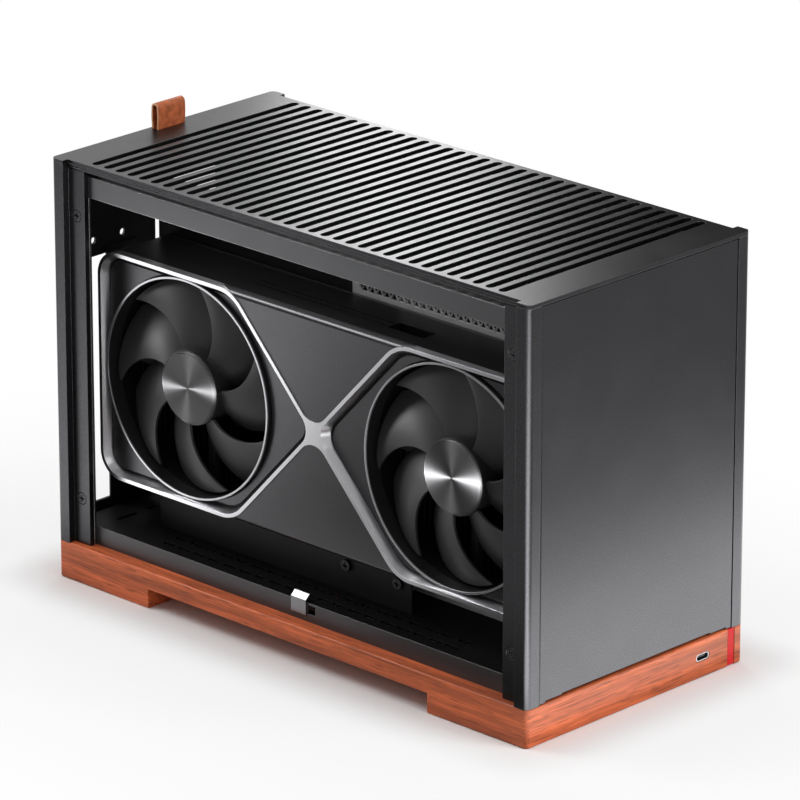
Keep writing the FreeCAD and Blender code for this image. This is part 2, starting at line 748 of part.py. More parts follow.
def top_pins():
    """Four locating pins under the corners of the top plate."""
    return group(four_ways(rod(HX - POST / 2, HY - POST / 2, POST_TOP, (0, 0, -1), PIN_R, PIN_LEN)))


def tab_ring(grow):
    """Tall round-ended block around the loop's pin."""
    r = TAB_PIN_R + grow
    low = POST_TOP - 2 * TAB_PIN_R - grow
    high = HEIGHT + TAB_RISE - TAB_T + grow
    y = -TAB_W / 2
    corners = [V(TAB_X - r, y, low), V(TAB_X + r, y, low), V(TAB_X + r, y, high), V(TAB_X - r, y, high)]
    return prism(loop(corners, r * 0.999), (0, TAB_W, 0))


def tab_nodes():
    """Leather loop through the top plate and the pin that holds it underneath."""
    strap = tab_ring(TAB_T).cut(tab_ring(0.02))
    z = POST_TOP - TAB_PIN_R
    pin = rod(TAB_X, -TAB_PIN_LEN / 2, z, (0, 1, 0), TAB_PIN_R, TAB_PIN_LEN)
    return {"pull_tab": strap, "tab_pin": pin}


def divider_nodes():
    """Board tray with ears and foot, its standoffs, the pierced screen and the supply bracket."""
    y0 = DIVIDER_Y
    y1 = y0 + SHEET
    pieces = [
        box(DIVIDER_X0, DIVIDER_X1, y0, y1, FLOOR_TOP, DIVIDER_TOP),
        box(DIVIDER_X0, DIVIDER_X1, y1, y1 + DIVIDER_FOOT, FLOOR_TOP, FLOOR_TOP + SHEET),
    ]
    for z in STANDOFF_Z:
        top = min(z + EAR_H / 2, DIVIDER_TOP)
        pieces.append(box(DIVIDER_X0 - EAR_REACH, DIVIDER_X0, y0, y1, z - EAR_H / 2, top))
    posts = []
    holes = []
    for x in (STANDOFF_X0, STANDOFF_X1):
        for z in STANDOFF_Z:
            post_shape = rod(x, y1, z, (0, 1, 0), STANDOFF_R, STANDOFF_H)
            hole = rod(x, y0 - 1, z, (0, 1, 0), STANDOFF_HOLE, STANDOFF_H + 4)
            posts.append(post_shape.cut(hole))
            holes.append(hole)
    screen = box(SCREEN_X0, SCREEN_X1, y0 - SHEET, y0, FLOOR_TOP, SCREEN_TOP)
    tools = []
    for row in range(2):
        z0 = TRI_Z + row * (TRI_RISE + TRI_GAP)
        z1 = z0 + TRI_RISE
        for i in range(TRI_COUNT):
            x = SCREEN_X0 + TRI_IN + i * TRI_PITCH
            for shift, base, tip in ((0.0, z1, z0), (TRI_PITCH / 2, z0, z1)):
                c = x + shift
                wire = loop(
                    [
                        V(c - TRI_SIDE / 2, y0 - SHEET - 1, base),
                        V(c + TRI_SIDE / 2, y0 - SHEET - 1, base),
                        V(c, y0 - SHEET - 1, tip),
                    ]
                )
                tools.append(prism(wire, (0, SHEET + 2, 0)))
    plate = box(PSU_X, PSU_X + PSU_T, y0, PSU_Y1, FLOOR_TOP, PSU_TOP)
    my = (y0 + PSU_Y1) / 2
    mz = (FLOOR_TOP + PSU_TOP) / 2
    wy, wz = PSU_HOLES
    hy, hz = [size / 2 for size in PSU_WINDOW]
    cuts = [box(PSU_X - 1, PSU_X + PSU_T + 1, my - hy, my + hy, mz - hz, mz + hz)]
    for y in (my - wy / 2, my + wy / 2):
        for z in (mz - wz / 2, mz + wz / 2):
            cuts.append(rod(PSU_X - 1, y, z, (1, 0, 0), PSU_HOLE_R, PSU_T + 2))
    return {
        "board_tray": joined(pieces).cut(holes),
        "standoffs": group(posts),
        "vent_screen": screen.cut(tools),
        "psu_bracket": plate.cut(cuts),
    }


def riser_nodes():
    """Bent bracket under the card with its socket and two screws."""
    y0 = RISER_Y
    web = box(RISER_X0, RISER_X1, y0, y0 + SHEET, FLOOR_TOP, RISER_TOP)
    sy0 = EDGE_Y - SOCKET_SIDE[0]
    sy1 = EDGE_Y + SOCKET_SIDE[1]
    shelf = box(RISER_X0, RISER_SHELF_X1, y0 + SHEET, sy1, RISER_SHELF_Z - SHEET, RISER_SHELF_Z)
    holes = []
    screws = []
    z = FLOOR_TOP + RISER_SCREW_UP
    for inward in RISER_SCREW_IN:
        x = RISER_X1 - inward
        holes.append(rod(x, y0 - 1, z, (0, 1, 0), SHANK_R + EASE, RISER_SCREW_LEN))
        screws.append(screw(x, y0, z, (0, 1, 0), RISER_SCREW_LEN, True))
    top = RISER_SHELF_Z + SOCKET_H
    socket = box(SOCKET_X0, SOCKET_X1, sy0, sy1, RISER_SHELF_Z, top)
    groove_y = EDGE_Y - EDGE_T - 0.2
    groove = box(EDGE_X0 - 1, EDGE_X1 + 1, groove_y, EDGE_Y + 0.2, EDGE_Z - 2, top + 1)
    return {
        "riser_bracket": joined([web, shelf]).cut(holes),
        "riser_screws": group(screws),
        "riser_socket": socket.cut(groove),
    }


def inset(points, distance):
    """Convex outline moved inwards by a distance, as pairs."""
    count = len(points)
    area = sum(points[i - 1][0] * points[i][1] - points[i][0] * points[i - 1][1] for i in range(count))
    side = 1.0 if area > 0 else -1.0
    lines = []
    for i in range(count):
        p = points[i]
        q = points[(i + 1) % count]
        length = math.hypot(q[0] - p[0], q[1] - p[1])
        nx = -side * (q[1] - p[1]) / length
        ny = side * (q[0] - p[0]) / length
        lines.append((nx, ny, nx * p[0] + ny * p[1] + distance))
    moved = []
    for i in range(count):
        a = lines[i - 1]
        b = lines[i]
        det = a[0] * b[1] - a[1] * b[0]
        moved.append(((a[2] * b[1] - a[1] * b[2]) / det, (a[0] * b[2] - a[2] * b[0]) / det))
    return moved


def bay_wire(end, distance, tip, y):
    """Outline of one fan bay, drawn in from its outer edge by a distance, on a plane across Y."""
    k = BAY_KNEE
    points = [(BAY_TIP, 0.0), (k, CARD_Q), (CARD_P, CARD_Q), (CARD_P, -CARD_Q), (k, -CARD_Q)]
    moved = inset(points, distance) if distance > 0 else points
    bend = BAY_BEND - distance
    corner = CARD_CORNER - distance
    corners = [V(CARD_X + end * p, y, CARD_Z + q) for p, q in moved]
    return loop(corners, [tip, bend, corner, corner, bend])


def card_outline(y0, y1):
    """Rounded block over the whole card between two planes."""
    corners = [
        V(CARD_X - CARD_P, y0, CARD_Z - CARD_Q),
        V(CARD_X + CARD_P, y0, CARD_Z - CARD_Q),
        V(CARD_X + CARD_P, y0, CARD_Z + CARD_Q),
        V(CARD_X - CARD_P, y0, CARD_Z + CARD_Q),
    ]
    return prism(loop(corners, CARD_CORNER), (0, y1 - y0, 0))


def plate_wedge(side):
    """Wedge between the frame's bars with a rounded tip; side is 1 above the middle or -1 below."""
    rise = CARD_Q / (BAY_KNEE - BAY_TIP)
    reach = HUB * 3
    tip = -BAY_TIP * rise
    top = tip + reach * rise
    corners = [
        V(CARD_X, CARD_Y0 - 1, CARD_Z + side * tip),
        V(CARD_X + reach, CARD_Y0 - 1, CARD_Z + side * top),
        V(CARD_X - reach, CARD_Y0 - 1, CARD_Z + side * top),
    ]
    return prism(loop(corners, [PLATE_TIP_R, 0, 0]), (0, FRAME_D + 2, 0))


def plate_round(reach):
    """Tool that rounds the long outer edge of the upper plate."""
    r = PLATE_EDGE_R
    y = CARD_Y0 + PLATE_SET
    z = CARD_Z + CARD_Q
    corner = box(CARD_X - reach, CARD_X + reach, y - 1, y + r, z - r, z + 1)
    return corner.cut(rod(CARD_X - reach - 1, y + r, z - r, (1, 0, 0), r, 2 * reach + 2))


def fan_x(end):
    """Middle of a fan along X; end is -1 or 1."""
    return CARD_X + end * FAN_P


def blade():
    """One swept and twisted blade on an axis along Y, trimmed to the hub and the tip circle."""
    sections = []
    for radius, sweep, chord, pitch in BLADE_STATIONS:
        s = math.radians(BLADE_PHASE + sweep)
        b = math.radians(pitch)
        radial = V(math.cos(s), 0, math.sin(s))
        tangent = V(-math.sin(s), 0, math.cos(s))
        along = tangent * math.cos(b) - V(0, math.sin(b), 0)
        normal = tangent * math.sin(b) + V(0, math.cos(b), 0)
        c = radial * radius
        u = along * (chord / 2)
        n = normal * (BLADE_T / 2)
        bow = normal * (chord * CAMBER / 2)
        low = Part.Arc(c - u - n + bow, c - n - bow, c + u - n + bow).toShape()
        high = Part.Arc(c + u + n + bow, c + n - bow, c - u + n + bow).toShape()
        lead = Part.makeLine(c + u - n + bow, c + u + n + bow)
        trail = Part.makeLine(c - u + n + bow, c - u - n + bow)
        sections.append(Part.Wire([low, lead, high, trail]))
    shape = Part.makeLoft(sections, True, False)
    return shape.common(rod(0, -20, 0, (0, 1, 0), BLADE_R, 40))


def rotor(end):
    """Fan wheel: hub, swept blades and shaft."""
    x = fan_x(end)
    length = ROTOR_Y1 - ROTOR_Y0
    hub = rod(0, -length / 2, 0, (0, 1, 0), ROTOR_R, length)
    shaft = rod(0, length / 2, 0, (0, 1, 0), SHAFT_R, MOUNT_Y1 - ROTOR_Y1 - 0.5)
    shapes = [hub, shaft]
    one = blade()
    for i in range(BLADES):
        copy = one.copy()
        copy.rotate(V(0, 0, 0), V(0, 1, 0), 360.0 / BLADES * i)
        shapes.append(copy)
    wheel = joined(shapes)
    wheel.translate(V(x, (ROTOR_Y0 + ROTOR_Y1) / 2, CARD_Z))
    return wheel


def fan_nodes(end, name):
    """Bright ring, rotor, hub cap and rear mount of one fan."""
    x = fan_x(end)
    ring = rod(x, RING_Y0, CARD_Z, (0, 1, 0), RING_R, RING_Y1 - RING_Y0)
    ring = ring.cut(rod(x, RING_Y0 - 1, CARD_Z, (0, 1, 0), BORE_R, RING_Y1 - RING_Y0 + 2))
    cap = rod(x, ROTOR_Y0, CARD_Z, (0, -1, 0), CAP_R, CAP_T)
    rims = [e for e in cap.Edges if e.BoundBox.YMax < ROTOR_Y0 - CAP_T + 1e-3]
    cap = cap.makeChamfer(0.4, rims)
    face = ROTOR_Y0 - CAP_T
    groove = rod(x, face - 1, CARD_Z, (0, 1, 0), CAP_GROOVE_R + CAP_GROOVE_W, CAP_GROOVE_D + 1)
    groove = groove.cut(rod(x, face - 1, CARD_Z, (0, 1, 0), CAP_GROOVE_R, CAP_GROOVE_D + 1))
    cap = cap.cut(groove)
    depth = MOUNT_Y1 - MOUNT_Y0
    reach = BORE_R - 0.05
    spokes = [
        box(x - reach, x + reach, MOUNT_Y0, MOUNT_Y1, CARD_Z - SPOKE_W / 2, CARD_Z + SPOKE_W / 2),
        box(x - SPOKE_W / 2, x + SPOKE_W / 2, MOUNT_Y0, MOUNT_Y1, CARD_Z - reach, CARD_Z + reach),
    ]
    mount = joined([rod(x, MOUNT_Y0, CARD_Z, (0, 1, 0), MOUNT_R, depth)] + spokes)
    mount = mount.common(rod(x, MOUNT_Y0, CARD_Z, (0, 1, 0), reach, depth))
    mount = mount.cut(rod(x, MOUNT_Y0 - 1, CARD_Z, (0, 1, 0), SHAFT_R + SHAFT_FIT, depth + 2))
    fins = []
    count = int(BORE_R / FIN_PITCH)
    for i in range(-count, count + 1):
        c = x + i * FIN_PITCH
        fins.append(box(c - FIN_T / 2, c + FIN_T / 2, FIN_Y0, FIN_Y1, CARD_Z - BORE_R, CARD_Z + BORE_R))
    half = FIN_TIE_W / 2
    for z in (CARD_Z - FIN_TIE, CARD_Z, CARD_Z + FIN_TIE):
        fins.append(box(x - BORE_R, x + BORE_R, FIN_Y1 - FIN_TIE_W, FIN_Y1, z - half, z + half))
    limit = rod(x, FIN_Y0, CARD_Z, (0, 1, 0), BORE_R - 0.1, FIN_Y1 - FIN_Y0)
    return {
        "ring_" + name: ring,
        "rotor_" + name: rotor(end),
        "hub_cap_" + name: cap,
        "fan_mount_" + name: mount,
        "fins_" + name: joined(fins).common(limit),
    }


def card_nodes():
    """Graphics card body: bright X frame, dark plates, shroud, back plate, contacts and bracket."""
    back = CARD_Y0 + FRAME_D
    shroud_end = CARD_Y1 - BACK_T
    bays = {}
    for end in (-1, 1):
        bays[end] = prism(bay_wire(end, 0.0, 0.0, CARD_Y0), (0, FRAME_D, 0))
    block = box(CARD_X - HUB, CARD_X + HUB, CARD_Y0, back, CARD_Z - HUB, CARD_Z + HUB)
    star = block.cut([plate_wedge(1), plate_wedge(-1)])
    openings = []
    bay_plates = []
    for end in (-1, 1):
        front = bay_wire(end, LIP, TIP_R, CARD_Y0)
        rear = bay_wire(end, LIP + DRAFT, TIP_R, back)
        openings.append(Part.makeLoft([front, rear], True, True))
        openings.append(rod(fan_x(end), CARD_Y0 - 1, CARD_Z, (0, 1, 0), RING_R + FIT, FRAME_D + 2))
        floor = bay_wire(end, LIP + DRAFT + BAY_PLATE_GAP, TIP_R, back - BAY_PLATE_T)
        ring = rod(fan_x(end), CARD_Y0 - 1, CARD_Z, (0, 1, 0), RING_R + BAY_PLATE_CLEAR, FRAME_D + 2)
        bay_plates.extend(prism(floor, (0, BAY_PLATE_T, 0)).cut(ring).Solids)
    frame = joined([bays[-1], bays[1], star]).cut(openings)
    knee = BAY_KNEE + BAY_BEND
    field = box(CARD_X - knee, CARD_X + knee, CARD_Y0 + PLATE_SET, back, CARD_Z, CARD_Z + CARD_Q)
    upper = field.cut([bays[-1], bays[1], star, plate_round(knee)])
    lower = upper.mirror(V(0, 0, CARD_Z), V(0, 0, 1))
    shroud = card_outline(back, shroud_end)
    plate = card_outline(shroud_end, CARD_Y1)
    bores = []
    holes = []
    for end in (-1, 1):
        x = fan_x(end)
        bores.append(rod(x, back - 1, CARD_Z, (0, 1, 0), RING_R + FIT, RING_Y1 - back + 1))
        bores.append(rod(x, back, CARD_Z, (0, 1, 0), BORE_R, 60))
        holes.append(rod(x, shroud_end - 1, CARD_Z, (0, 1, 0), BORE_R, BACK_T + 2))
    top = CARD_Z + CARD_Q
    x0, x1 = [CARD_X + x for x in LINE_X]
    for inward in LINE_IN:
        y = CARD_Y0 + inward
        bores.append(box(x0, x1, y, y + LINE_W, top - LINE_D, top + 1))
    x0, x1 = [CARD_X + x for x in PLUG_X]
    y0, y1 = [CARD_Y0 + y for y in PLUG_IN]
    bores.append(box(x0, x1, y0, y1, top - PLUG_D, top + 1))
    contacts = box(EDGE_X0, EDGE_X1, EDGE_Y - EDGE_T, EDGE_Y, EDGE_Z, CARD_Z - CARD_Q)
    left = CARD_X - CARD_P
    front = REAR_IN + BRACKET_T
    y0 = CARD_Y0 + BRACKET_IN
    z0 = FLOOR_TOP + BRACKET_UP
    z1 = CARD_WINDOW[3] + BRACKET_OVER
    bracket = [box(REAR_IN, front, y0, CARD_Y1 - BRACKET_EASE, z0, z1)]
    y0, y1 = [CARD_Y1 - inward for inward in ARM_IN]
    for z in [CARD_Z + rise for rise in ARM_Z]:
        bracket.append(box(front, left, y0, y1, z, z + SHEET))
    return {
        "card_frame": frame,
        "card_plate_upper": upper,
        "card_plate_lower": lower,
        "card_bay_plates": group(bay_plates),
        "card_shroud": shroud.cut(bores),
        "card_backplate": plate.cut(holes),
        "card_contacts": contacts,
        "card_bracket": joined(bracket),
    }


def side_panel_nodes():
    """Slotted right-hand side panel and the four magnets that hold it."""
    sheet = box(-SIDE_X, SIDE_X, HY - SIDE_T, HY, SIDE_Z0, SIDE_Z1)
    s0 = BASE_H + SIDE_SLOT_UP
    s1 = HEIGHT - SIDE_SLOT_DOWN
    tools = []
    for i in range(SIDE_SLOTS):
        x = SIDE_PITCH * (i - (SIDE_SLOTS - 1) / 2)
        r = SLOT_W / 2
        y = HY - SIDE_T - 1
        wire = loop([V(x - r, y, s0), V(x + r, y, s0), V(x + r, y, s1), V(x - r, y, s1)], r * 0.999)
        tools.append(prism(wire, (0, SIDE_T + 2, 0)))
    face = HY - FLANGE_SET
    discs = []
    for z in MAGNET_Z:
        for x in (-HX + SCREW_IN, HX - SCREW_IN):
            discs.append(rod(x, face, z, (0, 1, 0), MAGNET_R, FLANGE_SET - SIDE_T))
    return {"side_panel": sheet.cut(tools), "side_magnets": group(discs)}


def all_nodes():
    """Every named piece of the case."""
    corner_posts = four_ways(post())
    right_frame = side_frame()
    nodes = {
        "base_plinth": base_plinth(),
        "foot_pads": foot_pads(),
        "base_screws": base_screws(),
        "floor_tray": floor_tray(),
        "panel_clips": panel_clips(),
        "post_front_right": corner_posts[0],
        "post_rear_right": corner_posts[1],
        "post_front_left": corner_posts[2],
        "post_rear_left": corner_posts[3],
        "post_screws": post_screws(),
        "right_frame": right_frame,
        "left_frame": mirror_y(right_frame),
        "rear_panel": rear_panel(),
        "rear_screws": end_screws(True),
        "front_panel": front_panel(),
        "front_screws": end_screws(False),
        "top_panel": top_panel(),
        "top_pins": top_pins(),
    }
    nodes.update(port_nodes())
    nodes.update(tab_nodes())
    nodes.update(divider_nodes())
    nodes.update(riser_nodes())
    nodes.update(card_nodes())
    nodes.update(fan_nodes(-1, "rear"))
    nodes.update(fan_nodes(1, "front"))
    nodes.update(side_panel_nodes())
    return nodes


os.makedirs("parts", exist_ok=True)
for node, shape in all_nodes().items():
    shape.exportStep("parts/" + node + ".step")
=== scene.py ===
"""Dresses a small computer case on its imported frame: finishes, a leather loop and the studio."""

import logging
import math
from dataclasses import dataclass
from enum import Enum

import bmesh
import bpy
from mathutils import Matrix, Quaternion, Vector


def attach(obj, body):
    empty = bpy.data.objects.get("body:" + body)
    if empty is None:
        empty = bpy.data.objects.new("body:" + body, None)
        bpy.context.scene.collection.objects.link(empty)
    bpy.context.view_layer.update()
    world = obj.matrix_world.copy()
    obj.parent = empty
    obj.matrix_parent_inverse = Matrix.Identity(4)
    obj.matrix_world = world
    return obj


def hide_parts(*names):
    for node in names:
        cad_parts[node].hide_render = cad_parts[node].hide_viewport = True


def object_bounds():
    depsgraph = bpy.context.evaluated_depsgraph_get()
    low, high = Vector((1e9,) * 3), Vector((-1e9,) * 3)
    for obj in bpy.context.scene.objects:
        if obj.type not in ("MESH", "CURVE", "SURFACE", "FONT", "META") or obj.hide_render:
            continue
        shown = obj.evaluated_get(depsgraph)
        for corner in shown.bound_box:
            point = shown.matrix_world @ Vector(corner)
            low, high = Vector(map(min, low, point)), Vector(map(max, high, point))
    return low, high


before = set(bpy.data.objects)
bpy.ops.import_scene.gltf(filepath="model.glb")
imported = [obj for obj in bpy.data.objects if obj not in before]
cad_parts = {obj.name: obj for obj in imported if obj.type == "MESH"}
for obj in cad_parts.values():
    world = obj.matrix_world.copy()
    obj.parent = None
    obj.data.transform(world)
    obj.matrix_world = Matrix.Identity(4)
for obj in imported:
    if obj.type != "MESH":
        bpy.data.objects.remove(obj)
CAD_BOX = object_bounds()
LOG = logging.getLogger("case")

MM = 0.001
WHITE = (1.0, 1.0, 1.0, 1.0)
# Where most values of a noise texture lie
NOISE_RANGE = (0.3, 0.7)
SPECKLE_CONTRAST = 2.0
COAT_ROUGHNESS = 0.15
Colour = tuple[float, float, float]
Point = tuple[float, float, float]
Station = tuple[Vector, Vector]
Output = bpy.types.NodeSocket
Outputs = bpy.types.NodeOutputs


class Kind(Enum):
    """Socket types that the shared groups use."""

    VALUE = "NodeSocketFloat"
    VECTOR = "NodeSocketVector"


class Axis(Enum):
    """Axes of the shared frame."""

    X = "X"
    Y = "Y"
    Z = "Z"


class End(Enum):
    """Ends of the case along X."""

    FRONT = "front"
    REAR = "rear"


POSTS = tuple(f"post_{end.value}_{side}" for end in End for side in ("left", "right"))


def grey(level: float) -> Colour:
    """Neutral colour of one level."""
    return (level, level, level)


def facing(at: Point, aim: Point) -> Quaternion:
    """Turn that points a lamp or a camera from one point at another."""
    return (Vector(aim) - Vector(at)).to_track_quat("-Z", "Y")


def put(name: str, data: bpy.types.ID) -> bpy.types.Object:
    """Puts a new object in the scene.

    Args:
        name: Name of the object.
        data: Its mesh, lamp or camera.

    Returns:
        The new object.
    """
    made = bpy.data.objects.new(name, data)
    bpy.context.scene.collection.objects.link(made)
    return made


@dataclass(frozen=True)
class Socket:
    """One named socket of a shared group.

    Args:
        name: Name shown on the group node.
        kind: What the socket carries.
        value: Value it has when nothing is linked or set.
    """

    name: str
    kind: Kind = Kind.VALUE
    value: float = 0.0


class Tree:
    """Adds and links nodes in one shader tree."""

    def __init__(self, tree: bpy.types.NodeTree) -> None:
        """Takes the tree to work in."""
        self.tree = tree

    def add(self, kind: str, sockets: dict | None = None, **settings: object) -> bpy.types.Node:
        """Adds a node.

        Args:
            kind: Blender's name of the node type.
            sockets: Input name or number to a constant, or to an output that is linked there.
            settings: Attributes of the node itself.

        Returns:
            The new node.
        """
        node = self.tree.nodes.new(kind)
        for key, value in settings.items():
            setattr(node, key, value)
        for key, value in (sockets or {}).items():
            if isinstance(value, Output):
                self.tree.links.new(value, node.inputs[key])
            else:
                node.inputs[key].default_value = value
        return node

    def sum(self, operation: str, *values: object) -> Output:
        """Result of a Math node.

        Args:
            operation: Blender's name of the operation.
            values: Constants or outputs, in the node's order.

        Returns:
            The node's output.
        """
        return self.add("ShaderNodeMath", dict(enumerate(values)), operation=operation).outputs[0]

    def vector(self, operation: str, *values: object) -> Outputs:
        """Results of a Vector Math node.

        Args:
            operation: Blender's name of the operation.
            values: Constants or outputs, in the node's order.

        Returns:
            The node's outputs, which are named Vector and Value.
        """
        return self.add("ShaderNodeVectorMath", dict(enumerate(values)), operation=operation).outputs

    def span(self, value: object, low: float, high: float, first: float = 0.0, last: float = 1.0) -> Output:
        """A value carried from one range to another, with soft ends.

        Args:
            value: Output to carry over.
            low: Start of its range.
            high: End of its range.
            first: Result at the start.
            last: Result at the end.

        Returns:
            The carried value.
        """
        sockets = {0: value, 1: low, 2: high, 3: first, 4: last}
        return self.add("ShaderNodeMapRange", sockets, interpolation_type="SMOOTHSTEP").outputs[0]

    def blend(self, mask: object, first: object, second: object) -> Output:
        """Two colours mixed by a mask.

        Args:
            mask: Where the second colour shows.
            first: Colour or output under it.
            second: Colour or output over it.

        Returns:
            The mixed colour.
        """
        sockets = {0: mask}
        # The node has other inputs of the same names, so its colour sockets are called by number
        for number, item in ((6, first), (7, second)):
            sockets[number] = item if isinstance(item, Output) else (*item, 1.0)
        return self.add("ShaderNodeMix", sockets, data_type="RGBA").outputs[2]

    def noise(self, vector: object, scale: object, detail: float = 2.0, rough: float = 0.5) -> Output:
        """Value of a noise texture.

        Args:
            vector: Where it is read.
            scale: Cells per metre.
            detail: Finer layers.
            rough: Strength of the finer layers.

        Returns:
            The noise value, about 0.25 to 0.75.
        """
        sockets = {"Vector": vector, "Scale": scale, "Detail": detail, "Roughness": rough}
        return self.add("ShaderNodeTexNoise", sockets).outputs[0]

    def place(self) -> Output:
        """Position on the piece, in metres of the shared frame at rest."""
        return self.add("ShaderNodeTexCoord").outputs["Object"]

    def parts(self, vector: object) -> Outputs:
        """X, Y and Z of a vector."""
        return self.add("ShaderNodeSeparateXYZ", {0: vector}).outputs

    def off_middle(self, vector: object, axis: Axis) -> Output:
        """Distance of a point from the frame's middle along one axis."""
        return self.sum("ABSOLUTE", self.parts(vector)[axis.value])

    def seen(self) -> Output:
        """Tells what is looked at from what only gives light.

        Returns:
            1 on rays from the camera, reflections and clear pieces, and 0 on the others.
        """
        ray = self.add("ShaderNodeLightPath").outputs
        looked = self.sum("MAXIMUM", ray["Is Camera Ray"], ray["Is Glossy Ray"])
        return self.sum("MAXIMUM", looked, ray["Is Transmission Ray"])


class SharedGroup:
    """A shader node group that several finishes place, built once."""

    title: str = ""
    inputs: tuple[Socket, ...] = ()
    outputs: tuple[Socket, ...] = ()

    @classmethod
    def use(cls, tree: Tree, values: dict) -> Outputs:
        """Places the group in a material.

        Args:
            tree: The material's tree.
            values: Its own values for the group's inputs.

        Returns:
            The group node's outputs.
        """
        group = bpy.data.node_groups.get(cls.title) or cls.build()
        return tree.add("ShaderNodeGroup", values, node_tree=group).outputs

    @classmethod
    def build(cls) -> bpy.types.NodeTree:
        """Makes the group with its named sockets and fills it.

        Returns:
            The new group.
        """
        group = bpy.data.node_groups.new(cls.title, "ShaderNodeTree")
        for side, sockets in (("INPUT", cls.inputs), ("OUTPUT", cls.outputs)):
            for socket in sockets:
                made = group.interface.new_socket(socket.name, in_out=side, socket_type=socket.kind.value)
                if socket.kind is Kind.VALUE:
                    made.default_value = socket.value
        tree = Tree(group)
        given = tree.add("NodeGroupInput").outputs
        result = tree.add("NodeGroupOutput").inputs
        for name, output in cls.fill(tree, given).items():
            group.links.new(output, result[name])
        return group

    @classmethod
    def fill(cls, tree: Tree, given: Outputs) -> dict[str, Output]:
        """Adds the group's own nodes; each group gives its own.

        Args:
            tree: The group's tree.
            given: The group's inputs.

        Returns:
            Output name to the socket that feeds it.
        """
        raise NotImplementedError


class BlastGrain(SharedGroup):
    """Fine speckle of a blasted or powder-coated surface, and slow handling marks over it."""

    title = "blast_grain"
    inputs = (
        Socket("Vector", Kind.VECTOR),
        Socket("Scale", Kind.VALUE, 1500.0),
        Socket("Contrast", Kind.VALUE, 1.0),
    )
    outputs = (Socket("Speckle"), Socket("Marks"), Socket("Height"))
    marks_scale: float = 42.0
    marks_range: tuple[float, float] = (0.35, 0.68)
    middle: float = 0.5

    @classmethod
    def fill(cls, tree: Tree, given: Outputs) -> dict[str, Output]:
        """Adds speckle, marks and height.

        Args:
            tree: The group's tree.
            given: The group's inputs.

        Returns:
            Output name to the socket that feeds it.
        """
        fine = tree.noise(given["Vector"], given["Scale"], 2.0, 0.6)
        coarse = tree.noise(given["Vector"], cls.marks_scale, 3.0, 0.55)
        centred = tree.sum("SUBTRACT", fine, cls.middle)
        speckle = tree.sum("MULTIPLY_ADD", centred, given["Contrast"], cls.middle)
        return {"Speckle": speckle, "Marks": tree.span(coarse, *cls.marks_range), "Height": fine}


class EdgeWearAndShading(SharedGroup):
    """Softly broken edges: a rounded normal and a mask of the edges, where most finishes put their wear,
    the grey steel a painted highlight and the black screws painted shade.
    """

    title = "edge_wear_and_shading"
    inputs = (
        Socket("Vector", Kind.VECTOR),
        Socket("Radius", Kind.VALUE, 0.0004),
        Socket("Amount", Kind.VALUE, 0.5),
    )
    outputs = (Socket("Mask"), Socket("Normal", Kind.VECTOR))
    edge_range: tuple[float, float] = (0.985, 0.8)
    chip_scale: float = 260.0
    chip_range: tuple[float, float] = (0.3, 0.6)
    least: float = 0.45
    samples: int = 6

    @classmethod
    def fill(cls, tree: Tree, given: Outputs) -> dict[str, Output]:
        """Adds the rounded normal and the mask.

        Args:
            tree: The group's tree.
            given: The group's inputs.

        Returns:
            Output name to the socket that feeds it.
        """
        rounded = tree.add("ShaderNodeBevel", {"Radius": given["Radius"]}, samples=cls.samples).outputs[0]
        flat = tree.add("ShaderNodeNewGeometry").outputs["Normal"]
        match = tree.vector("DOT_PRODUCT", rounded, flat)["Value"]
        edge = tree.span(match, *cls.edge_range)
        chips = tree.noise(given["Vector"], cls.chip_scale, 3.0, 0.6)
        broken = tree.span(chips, *cls.chip_range, cls.least)
        mask = tree.sum("MULTIPLY", tree.sum("MULTIPLY", edge, broken), given["Amount"])
        return {"Mask": mask, "Normal": rounded}


class WoodGrain(SharedGroup):
    """Long-grained hardwood: streaks, fibres and pores that run along the vector's X.

    Each pair of cells is the number per metre along the grain and across it.
    """

    title = "wood_grain"
    inputs = (Socket("Vector", Kind.VECTOR), Socket("Seed", Kind.VALUE, 0.0))
    outputs = (Socket("Streak"), Socket("Fibre"), Socket("Pore"), Socket("Height"))
    streak_cells: tuple[float, float] = (9.0, 150.0)
    fibre_cells: tuple[float, float] = (26.0, 760.0)
    pore_cells: tuple[float, float] = (75.0, 1300.0)
    pore_range: tuple[float, float] = (0.56, 0.68)
    pore_depth: float = 0.6

    @classmethod
    def fill(cls, tree: Tree, given: Outputs) -> dict[str, Output]:
        """Adds streaks, fibres and pores.

        Args:
            tree: The group's tree.
            given: The group's inputs.

        Returns:
            Output name to the socket that feeds it.
        """
        shift = tree.add("ShaderNodeCombineXYZ", dict.fromkeys(range(3), given["Seed"])).outputs[0]
        moved = tree.vector("ADD", given["Vector"], shift)["Vector"]

        def along(cells: tuple[float, float]) -> Output:
            """Position stretched along the grain."""
            return tree.vector("MULTIPLY", moved, (cells[0], cells[1], cells[1]))["Vector"]

        wide = tree.noise(along(cls.streak_cells), 1.0, 4.0, 0.65)
        fine = tree.noise(along(cls.fibre_cells), 1.0, 3.0, 0.65)
        dash = tree.noise(along(cls.pore_cells), 1.0, 1.0, 0.5)
        pore = tree.span(dash, *cls.pore_range)
        height = tree.sum("SUBTRACT", fine, tree.sum("MULTIPLY", pore, cls.pore_depth))
        streak = tree.span(wide, *NOISE_RANGE)
        fibre = tree.span(fine, *NOISE_RANGE)
        return {"Streak": streak, "Fibre": fibre, "Pore": pore, "Height": height}


